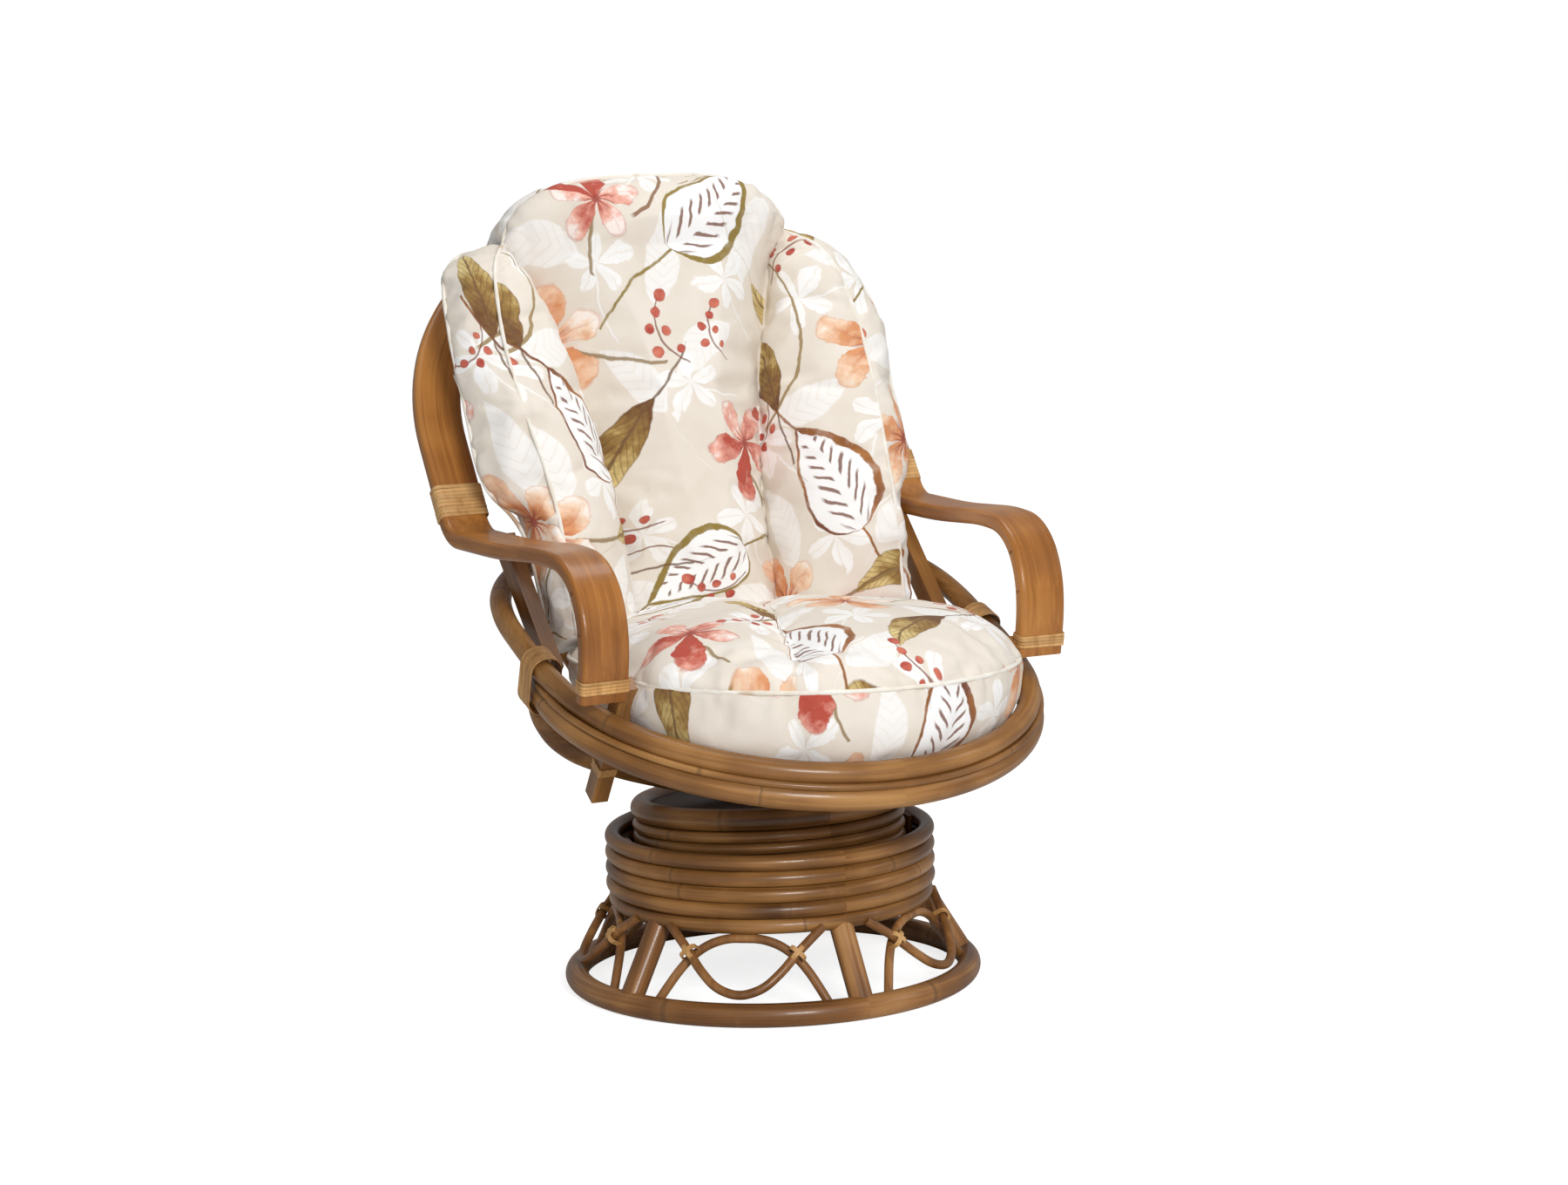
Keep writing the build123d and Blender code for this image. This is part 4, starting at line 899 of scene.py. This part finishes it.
def back_cushion():
    R, M, W, B, CAP = 84, 60, 22, 12, 13
    seam, front, rear, bseam = (by_level(t, R) for t in (SEAM, FRONT, REAR, BSEAM))
    v_ = np.linspace(0, 1, R)
    seam[:, 2] -= 0.023 * np.clip((1 - v_) * 5, 0, 1)
    cl = Cloth("back_cushion_cover")
    half_top = even(curve_through(TOPF, 0), M // 2 + 1)
    half_topb = even(curve_through(TOPB, 0), M // 2 + 1)
    topf = np.vstack([mirror(half_top), half_top[::-1][1:]])      # left to right
    topb = np.vstack([mirror(half_topb), half_topb[::-1][1:]])
    u = np.linspace(-1, 1, M + 1)
    H = 0.047

    # middle panel below the wings' tops
    g = np.zeros((R, M + 1, 3))
    for i in range(R):
        v = i / (R - 1)
        s = seam[i]
        g[i, :, 0] = u * s[0]
        g[i, :, 1] = s[1]
        foot = min(1.0, v / 0.10)
        g[i, :, 2] = s[2] + (H + 0.008) * (1 - np.abs(u) ** 4.6) ** 0.60 * (0.6 + 0.4 * foot)
    uvm = np.stack([g[..., 0], g[..., 1]], -1)
    pin = np.zeros((R, M + 1)); pin[:, 0] = pin[:, -1] = 1; pin[0, :] = 1
    cl.panel(settle(to_row(g)), uvm, pin=pin)
    # middle panel above them, up to the top piping
    line = g[-1]
    g2 = np.zeros((CAP + 1, M + 1, 3))
    for i in range(CAP + 1):
        v = i / CAP
        flat = (1 - v) * line + v * topf
        flat[:, 2] += 0.040 * (1 - np.abs(u) ** 4.6) ** 0.60 * ((1 - v ** 2.2) ** 0.8 - (1 - v)) + 0.0
        g2[i] = flat
    uv2 = np.stack([g2[..., 0], g2[..., 1]], -1)
    pin = np.zeros((CAP + 1, M + 1)); pin[:, 0] = pin[:, -1] = 1; pin[-1, :] = 1
    cl.panel(to_row(g2), uv2, pin=pin)

    for sgn in (1, -1):
        mir = (lambda a: a) if sgn > 0 else mirror
        # wing, front
        w = np.linspace(0, 1, W + 1)[None, :, None]
        gw = seam[:, None, :] * (1 - w) + front[:, None, :] * w
        across = front - seam
        nrm = np.stack([-across[:, 2], np.zeros(R), across[:, 0]], 1)
        width = np.linalg.norm(across, axis=1)
        nrm /= np.maximum(np.linalg.norm(nrm, axis=1, keepdims=True), 1e-6)
        crown = 0.030 * np.minimum(1, width / 0.12)
        prof = (np.clip(4 * w[0, :, 0] * (1 - w[0, :, 0]), 0, 1)) ** 0.50
        gw = gw + nrm[:, None, :] * crown[:, None, None] * prof[None, :, None]
        arc = seam[:, 0:1] + width[:, None] * w[0, :, 0][None, :] * 1.06
        uvw = np.stack([sgn * arc + sgn * 0.03, gw[..., 1] + 0.05 * sgn], -1)
        pin = np.zeros((R, W + 1)); pin[:, 0] = pin[:, -1] = 1; pin[0, :] = 1
        cl.panel(settle(to_row(mir(gw))), uvw, flip=(sgn < 0), pin=pin)
        # boxing at the side
        b = np.linspace(0, 1, B + 1)[None, :, None]
        gb = front[:, None, :] * (1 - b) + rear[:, None, :] * b
        out = rear - front
        nb = np.stack([-out[:, 2], np.zeros(R), out[:, 0]], 1)
        nb /= np.maximum(np.linalg.norm(nb, axis=1, keepdims=True), 1e-6)
        bulge = 0.010 * (np.clip(4 * b[0, :, 0] * (1 - b[0, :, 0]), 0, 1)) ** 0.8
        gb = gb + nb[:, None, :] * bulge[None, :, None]
        run = np.concatenate([[0], np.cumsum(np.linalg.norm(np.diff(front, axis=0), axis=1))])
        uvb = np.stack([np.broadcast_to(0.31 * sgn + sgn * b[0, :, 0] * 0.085, (R, B + 1)), np.broadcast_to(run[:, None] - 0.1 + 0.13 * sgn, (R, B + 1))], -1)
        pin = np.zeros((R, B + 1)); pin[:, 0] = pin[:, -1] = 1; pin[0, :] = 1
        cl.panel(settle(to_row(mir(gb))), uvb, flip=(sgn < 0), pin=pin)
        # wing, rear
        gr = rear[:, None, :] * (1 - w) + bseam[:, None, :] * w
        acr = bseam - rear
        nr = np.stack([-acr[:, 2], np.zeros(R), acr[:, 0]], 1)
        nr /= np.maximum(np.linalg.norm(nr, axis=1, keepdims=True), 1e-6)
        gr = gr + nr[:, None, :] * (0.012 * prof)[None, :, None] * np.minimum(1, np.linalg.norm(acr, axis=1) / 0.12)[:, None, None]
        uvr = np.stack([0.9 - sgn * gr[..., 0], gr[..., 1]], -1)
        pin = np.ones((R, W + 1))
        cl.panel(settle(to_row(mir(gr))), uvr, flip=(sgn < 0), pin=pin)
        # foot of the wing
        gf = np.zeros((B + 1, W + 1, 3))
        top_row = gw[0]
        low_row = gr[0][::-1]
        for i in range(B + 1):
            v = i / B
            gf[i] = top_row * (1 - v) + low_row * v
            gf[i, -1] = gb[0, i]
        uvf = np.stack([sgn * gf[..., 0], 0.4 + gf[..., 2]], -1)
        cl.panel(stand(to_row(mir(gf))), uvf, flip=(sgn > 0), pin=np.ones((B + 1, W + 1)))
        gw0 = gw
    # rear middle: pressed on the spindles, so nearly flat
    gb = np.zeros((R, M + 1, 3))
    for i in range(R):
        gb[i, :, 0] = u * bseam[i, 0]
        gb[i, :, 1] = bseam[i, 1]
        gb[i, :, 2] = bseam[i, 2] + 0.0
        # a swell between two spindles, multiplied by zero here, so it has no effect
        gb[i, :, 2] -= 0.0025 * (0.5 - 0.5 * np.cos(2 * math.pi * gb[i, :, 0] / 0.058)) * (1 - np.abs(u) ** 4) * 0
    uvb = np.stack([0.9 - gb[..., 0], gb[..., 1]], -1)
    cl.panel(settle(to_row(gb)), uvb, flip=True, pin=np.ones((R, M + 1)))
    lineb = gb[-1]
    g3 = np.zeros((CAP + 1, M + 1, 3))
    for i in range(CAP + 1):
        v = i / CAP
        g3[i] = (1 - v) * lineb + v * topb
        g3[i, :, 2] -= 0.010 * (1 - np.abs(u) ** 2) * 4 * v * (1 - v)
    uv3 = np.stack([0.9 - g3[..., 0], g3[..., 1]], -1)
    cl.panel(to_row(g3), uv3, flip=True, pin=np.ones((CAP + 1, M + 1)))
    # boxing over the top
    gt = np.zeros((B + 1, M + 1, 3))
    ctr = np.array([0, 0.30, 0.055])
    for i in range(B + 1):
        v = i / B
        row = topf * (1 - v) + topb * v
        away = row - ctr
        away[:, 2] = 0
        away /= np.maximum(np.linalg.norm(away, axis=1, keepdims=True), 1e-6)
        row = row + away * 0.009 * (4 * v * (1 - v)) ** 0.8 * np.clip(1.2 * (1 - np.abs(u) ** 6), 0, 1)[:, None]
        gt[i] = row
    run = np.concatenate([[0], np.cumsum(np.linalg.norm(np.diff(topf, axis=0), axis=1))])
    uvt = np.stack([np.broadcast_to(run[None, :] - 0.25, (B + 1, M + 1)), np.broadcast_to((0.48 + np.linspace(0, 0.09, B + 1))[:, None], (B + 1, M + 1))], -1)
    pin = np.zeros((B + 1, M + 1)); pin[0, :] = pin[-1, :] = 1; pin[:, 0] = pin[:, -1] = 1
    cl.panel(to_row(gt), uvt, pin=pin)
    # foot of the middle
    gf = np.zeros((B + 1, M + 1, 3))
    for i in range(B + 1):
        v = i / B
        gf[i] = g[0] * (1 - v) + gb[0] * v
        wingcol = None
    cl.panel(stand(to_row(gf)), np.stack([gf[..., 0], 0.4 + gf[..., 2]], -1), flip=True, pin=np.ones((B + 1, M + 1)))
    ob = cl.build(FABRIC)
    ef = np.vstack([settle(to_row(mirror(front))[:, None, :])[:, 0], to_row(topf[1:-1]), settle(to_row(front)[:, None, :])[:, 0][::-1]])
    er = np.vstack([settle(to_row(mirror(rear))[:, None, :])[:, 0], to_row(topb[1:-1]), settle(to_row(rear)[:, None, :])[:, 0][::-1]])
    sm = settle(to_row(seam)[:, None, :])[:, 0]
    return ob, ef, er, sm


def dish(x, y):
    """Height of the dish that the decking canes make."""
    r, h = 0.890, 0.835
    cy, cz = Q_Y - S16 * h, Q_Z + C16 * h
    return cz - np.sqrt(r * r - x ** 2 - (y - cy) ** 2)


TOP_R = [0.0, .060, .100, .140, .180, .215, .240, .258, .272, .283, .289]
TOP_Z = [.507, .5065, .505, .5025, .499, .494, .4885, .482, .473, .460, .446]
REAR_Z = [.506, .504, .501, .496, .489, .480, .472, .465, .459, .453, .446]
LOW_R = [.289, .2900, .2885, .2850, .2790, .2700, .2570, .2400, .210, .170, .120, .060, .0]
LOW_Z = [.446, .4300, .4150, .4000, .3840, .3660, .3480, .3320, .316, .300, .290, .286, .284]
GROOVE_R = [0.0, .05, .10, .13, .16, .185, .21, .24, .27, .289]
GROOVE = [.006, .007, .010, .014, .019, .023, .023, .018, .009, .0]
SEAT_Y = -0.078
WELT_Z = 0.431
TOP_Z, REAR_Z, LOW_Z = ([z - 0.015 for z in t] for t in (TOP_Z, REAR_Z, LOW_Z))
TURN = math.radians(20)


def smooth_table(xs, ys, count):
    """A table sampled evenly by its running length."""
    P = np.stack([xs, ys], 1)
    c = curve_through(P, 0)
    return even(c, count)


def seam_dist(x, y):
    """Distance from the seam that crosses the seat cushion, which lies turned in the chair."""
    return (x + 0.0235) * math.cos(TURN) - (y - SEAT_Y) * math.sin(TURN)


def clear_of_rings(P, gap=0.0012):
    """Keeps the cloth off the coils of the seat ring and off the decking."""
    P = P.copy()
    x, y, z = P[..., 0], P[..., 1] - Q_Y, P[..., 2] - Q_Z
    b = y * C16 + z * S16
    c = -y * S16 + z * C16
    for R0, h0, r0 in ((0.3102, 0.0298, 0.014), (0.316, 0.0, 0.016)):
        rho = np.maximum(np.hypot(x, b), 1e-6)
        dr, dh = rho - R0, c - h0
        d = np.maximum(np.hypot(dr, dh), 1e-6)
        k_ = np.where(d < r0 + gap, (r0 + gap) / d, 1.0)
        new = R0 + dr * k_
        f = new / rho
        x, b, c = x * f, b * f, h0 + dh * k_
    P[..., 0] = x
    P[..., 1] = b * C16 - c * S16 + Q_Y
    P[..., 2] = b * S16 + c * C16 + Q_Z
    P[..., 2] = np.maximum(P[..., 2], dish(P[..., 0], P[..., 1]) + 0.0012)
    return P


def build_seat():
    A, top_n, low_n = 168, 40, 46
    cl = Cloth("seat_cushion_cover")
    th = np.linspace(0, 2 * math.pi, A + 1)
    cx, cy = np.sin(th), -np.cos(th)
    wx, wy = 0.289 * cx, 0.289 * cy
    lim = 0.2615
    soft = 0.030
    ax = np.abs(wx)
    ax = np.where(ax > lim - soft, lim - soft + soft * np.tanh((ax - (lim - soft)) / soft), ax)
    wx = np.sign(wx) * ax
    wy = np.where(wy > 0, wy * 0.95, wy)
    X, Y = wx, SEAT_Y + wy
    Zw = np.maximum(WELT_Z - 0.022 * X, dish(X, Y) + 0.014)
    welt = np.stack([X, Y, Zw], 1)
    rear = 0.5 + 0.5 * np.tanh((cy - 0.25) / 0.22)
    top = smooth_table(TOP_R, TOP_Z, top_n + 1)
    rz = np.interp(top[:, 0], TOP_R, REAR_Z)
    g = np.zeros((top_n + 1, A + 1, 3))
    for i, (r, z) in enumerate(top):
        f = r / 0.289
        zz = z * (1 - rear) + rz[i] * rear
        lift = (Zw - WELT_Z) * f ** 3
        g[i] = np.stack([X * f, SEAT_Y + (Y - SEAT_Y) * f, zz + lift], 1)
    d = seam_dist(g[..., 0], g[..., 1])
    rr = np.hypot(g[..., 0], g[..., 1] - SEAT_Y)
    front = np.clip(0.5 - (g[..., 1] - SEAT_Y) / 0.2, 0.35, 1)
    depth = np.interp(rr, GROOVE_R, GROOVE) * front
    g[..., 2] -= depth * np.exp(-np.abs(d) / 0.019) * 0.95
    ca, sa = math.cos(TURN), math.sin(TURN)
    u = g[..., 0] * ca - g[..., 1] * sa
    v = g[..., 0] * sa + g[..., 1] * ca
    uv = np.stack([u * 1.05 + 0.20 + 0.05 * (d > 0), v * 1.05 + 0.33], -1)
    pin = np.zeros(d.shape)
    pin[-1, :] = 1
    pin = np.maximum(pin, (np.abs(d) < 0.0042) * 0.95)
    cl.panel(g, uv, pin=pin)
    low = smooth_table(LOW_R, LOW_Z, low_n + 1)
    gl = np.zeros((low_n + 1, A + 1, 3))
    for i, (r, z) in enumerate(low):
        f = r / 0.289
        fx = min(f, 1.0)
        lift = (Zw - WELT_Z) * max(0.0, 1 - (WELT_Z - z) / 0.12)
        gl[i] = np.stack([X * fx, SEAT_Y + (Y - SEAT_Y) * f, z + lift], 1)
    dl = seam_dist(gl[..., 0], gl[..., 1])
    gl[..., 1] += 0.010 * np.exp(-np.abs(dl) / 0.012) * np.clip(-(gl[..., 1] - SEAT_Y) / 0.25, 0, 1) * np.clip((low_n * 0.5 - np.arange(low_n + 1)) / 8, 0, 1)[:, None] * np.clip(np.arange(low_n + 1) / 3, 0, 1)[:, None]
    gl[1:] = clear_of_rings(gl[1:])
    run = np.concatenate([[0], np.cumsum(np.linalg.norm(np.diff(low, axis=0), axis=1))])
    ru = (0.289 + run)[:, None]
    uvl = np.stack([cx[None, :] * ru * ca - cy[None, :] * ru * sa + 0.60, cx[None, :] * ru * sa + cy[None, :] * ru * ca + 0.35], -1)
    pinl = np.zeros((low_n + 1, A + 1))
    pinl[0, :] = 1
    held = (gl[..., 2] < dish(gl[..., 0], gl[..., 1]) + 0.004)
    pinl = np.maximum(pinl, held * 1.0)
    pinl[-1, :] = 1
    cl.panel(gl, uvl, flip=False, pin=pinl)
    ob = cl.build(FABRIC)
    return ob, welt


def tube_along(name, pts, radius, mat, closed=False, seed=0, sides=10):
    """Piping: a thin cord under cloth that follows a seam, a little uneven."""
    rnd = np.random.RandomState(seed)
    P = [Vector(p) for p in pts]
    n = len(P)
    path, frames, rads = [], [], []
    for i in range(n):
        a = P[(i - 1) % n] if closed else P[max(i - 1, 0)]
        b = P[(i + 1) % n] if closed else P[min(i + 1, n - 1)]
        t = (b - a).normalized()
        path.append(P[i])
        frames.append(t)
        rads.append(radius * (1 + 0.10 * math.sin(i * 0.9 + seed) + rnd.uniform(-0.05, 0.05)))
    # parallel transport
    ref = Vector((0.3, 0.9, 0.2))
    up = (ref - frames[0] * ref.dot(frames[0])).normalized()
    verts, faces = [], []
    for i in range(n):
        t = frames[i]
        up = (up - t * up.dot(t)).normalized()
        side = t.cross(up)
        for s in range(sides):
            a = 2 * math.pi * s / sides
            verts.append(path[i] + (up * math.cos(a) + side * math.sin(a)) * rads[i])
    for i in range(n if closed else n - 1):
        j = (i + 1) % n
        for s in range(sides):
            r = (s + 1) % sides
            faces.append((i * sides + s, i * sides + r, j * sides + r, j * sides + s))
    if not closed:
        verts.append(path[0]); c0 = len(verts) - 1
        verts.append(path[-1]); c1 = len(verts) - 1
        for s in range(sides):
            r = (s + 1) % sides
            faces.append((c0, r, s))
            faces.append((c1, (n - 1) * sides + s, (n - 1) * sides + r))
    return piece(name, verts, faces, mat)


back, ef, er, sm = back_cushion()
seat, welt = build_seat()
inflate(back, pressure=4.0, slack=0.03, cap=0.022)
inflate(seat, pressure=3.0, slack=0.03, cap=0.010)
subdivide(back)
subdivide(seat)
mid = np.stack([np.full(60, 0.0), np.zeros(60), np.zeros(60)], 1)
vv = np.linspace(-0.27, 0.22, 60)
mid[:, 0] = -0.0235 + math.sin(TURN) * vv
mid[:, 1] = SEAT_Y + math.cos(TURN) * vv
mid[:, 2] = np.interp(np.abs(vv), TOP_R, TOP_Z) - np.interp(np.abs(vv), GROOVE_R, GROOVE)
ruffle(back, [ef, er, sm, mirror(sm)], amp=0.0056, reach=0.022, step=0.011, broad=0.0042, seed=5)
ruffle(seat, [np.vstack([welt, welt[:1]]), mid], amp=0.0048, reach=0.020, step=0.011, broad=0.0028, seed=9)
# nothing of the covers goes past the spindles, the rear posts, the rings or the decking
co = np.array([v.co for v in back.data.vertices])
n_ = -(co[:, 1] - 0.252) * C21 + (co[:, 2] - 0.560) * S21
push = np.where(np.abs(co[:, 0]) < 0.215, np.maximum(0, 0.0003 - n_), 0)
co[:, 1] -= push * C21
co[:, 2] += push * S21
side_ = 0.2665 + 0.030 * np.clip((co[:, 2] - 0.609) / 0.016, 0, 1) + 0.5 * np.clip(co[:, 2] - 0.625, 0, 0.08)
co[:, 0] = np.clip(co[:, 0], -side_, side_)
back.data.vertices.foreach_set("co", co.ravel())
co = clear_of_rings(np.array([v.co for v in seat.data.vertices]))
co[:, 0] = np.clip(co[:, 0], -0.2640, 0.2640)
seat.data.vertices.foreach_set("co", co.ravel())
back.data.update()
seat.data.update()
pf = tube_along("back_piping_front", ef, 0.0027, PIPING, seed=1)
pr = tube_along("back_piping_rear", er, 0.0027, PIPING, seed=2)
pw = tube_along("seat_welt", welt[:-1], 0.0029, PIPING, closed=True, seed=3)
for ob in (back, seat, pf, pr, pw):
    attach(ob, "seat")
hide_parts("back_cushion")
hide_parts("seat_cushion")

# ---------------------------------------------------------------- springs between the swivel and the seat
def bead_column(cx, cy, z0, z1, beads=5, sides=28):
    """A beaded rubber column with a bore, as rings of points; gives the points and the faces."""
    step = (z1 - z0) / beads
    prof = [(0.0040, z0), (0.0090, z0), (0.0128, z0)]
    for b in range(beads):
        for i in range(1, 9):
            u = i / 8
            prof.append((0.0128 + 0.0031 * math.sin(math.pi * u) ** 0.6 if 0 < u < 1 else 0.0128, z0 + (b + u) * step))
    prof += [(0.0090, z1), (0.0040, z1)]
    prof += [(0.0040, z1 + (z0 - z1) * i / 20) for i in range(1, 20)]
    pts = [(cx + r * math.cos(math.tau * j / sides), cy + r * math.sin(math.tau * j / sides), z) for r, z in prof for j in range(sides)]
    m = len(prof)
    quads = [(i * sides + j, i * sides + (j + 1) % sides, ((i + 1) % m) * sides + (j + 1) % sides, ((i + 1) % m) * sides + j)
             for i in range(m) for j in range(sides)]
    return pts, quads


rubber = plain("rubber_spring", lin(46, 46, 47), lin(26, 26, 27), 40, 0.7, spec=0.3)
for side, cy, top in (("front", -0.054, 0.2189), ("rear", 0.054, 0.2128)):
    pts, quads = [], []
    for cx in (-0.017, 0.017):
        p1, q1 = bead_column(cx, cy, 0.1381, top)
        quads += [tuple(i + len(pts) for i in q) for q in q1]
        pts += p1
    ob = piece(f"spring_columns_{side}", pts, quads, rubber)
    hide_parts(f"rocker_spring_{side}")
    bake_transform(ob)

# ---------------------------------------------------------------- floor, light, camera
k = Kit("studio_floor")
n1 = k.noise(place(k), 3.0, 3.0, 0.5)
k.finish(k.mixc(n1, lin(214, 213, 212), lin(220, 219, 218)), 0.9, None, spec=0.1)
k.put(k.bsdf.inputs["Emission Color"], (1, 1, 1, 1))
k.put(k.bsdf.inputs["Emission Strength"], k.m("MULTIPLY", k.node("ShaderNodeLightPath").outputs["Is Camera Ray"], 0.79))
floor = piece("studio_floor", [(-40, -30, -0.0005), (40, -30, -0.0005), (40, 60, -0.0005), (-40, 60, -0.0005)], [(0, 1, 2, 3)], k.mat)

world = bpy.data.worlds.new("studio")
SCENE.world = world
world.use_nodes = True
bg = world.node_tree.nodes["Background"]
bg.inputs[0].default_value = (1, 1, 1, 1)
lp = world.node_tree.nodes.new("ShaderNodeLightPath")
mr = world.node_tree.nodes.new("ShaderNodeMapRange")
mr.inputs[3].default_value = 0.33
mr.inputs[4].default_value = 1.05
world.node_tree.links.new(lp.outputs["Is Camera Ray"], mr.inputs[0])
world.node_tree.links.new(mr.outputs[0], bg.inputs[1])


def area(name, loc, target, size, power):
    ld = bpy.data.lights.new(name, "AREA")
    ld.shape = "RECTANGLE"
    ld.size, ld.size_y = size
    ld.energy = power
    ob = bpy.data.objects.new(name, ld)
    SCENE.collection.objects.link(ob)
    ob.location = loc
    ob.rotation_euler = (Vector(target) - Vector(loc)).to_track_quat("-Z", "Y").to_euler()


area("key", (-0.7, -3.5, 1.7), (0, 0, 0.45), (1.0, 0.8), 78)
area("fill", (-3.0, -1.8, 1.5), (0, 0, 0.5), (1.2, 1.2), 3)
area("side", (2.6, -1.8, 1.9), (0, 0, 0.6), (1.0, 1.2), 9)
area("top", (0.3, 0.2, 3.2), (0, 0, 0.5), (1.6, 1.6), 32)

FW = Vector((0.439367, 0.887172, -0.141004)).normalized()
rt = FW.cross(Vector((0, 0, 1))).normalized()
up = rt.cross(FW)
roll = -0.0272
rt2 = rt * math.cos(roll) + up * math.sin(roll)
up2 = up * math.cos(roll) - rt * math.sin(roll)
cam_data = bpy.data.cameras.new("camera")
cam_data.sensor_fit = "HORIZONTAL"
cam_data.sensor_width = 36
cam_data.lens = 81.34
cam_data.clip_end = 50
cam = bpy.data.objects.new("camera", cam_data)
SCENE.collection.objects.link(cam)
M = Matrix((rt2, up2, -FW)).transposed().to_4x4()
M.translation = Vector((-1.97267, -4.04457, 1.14445))
cam.matrix_world = M
SCENE.camera = cam
SCENE.view_settings.view_transform = "Standard"
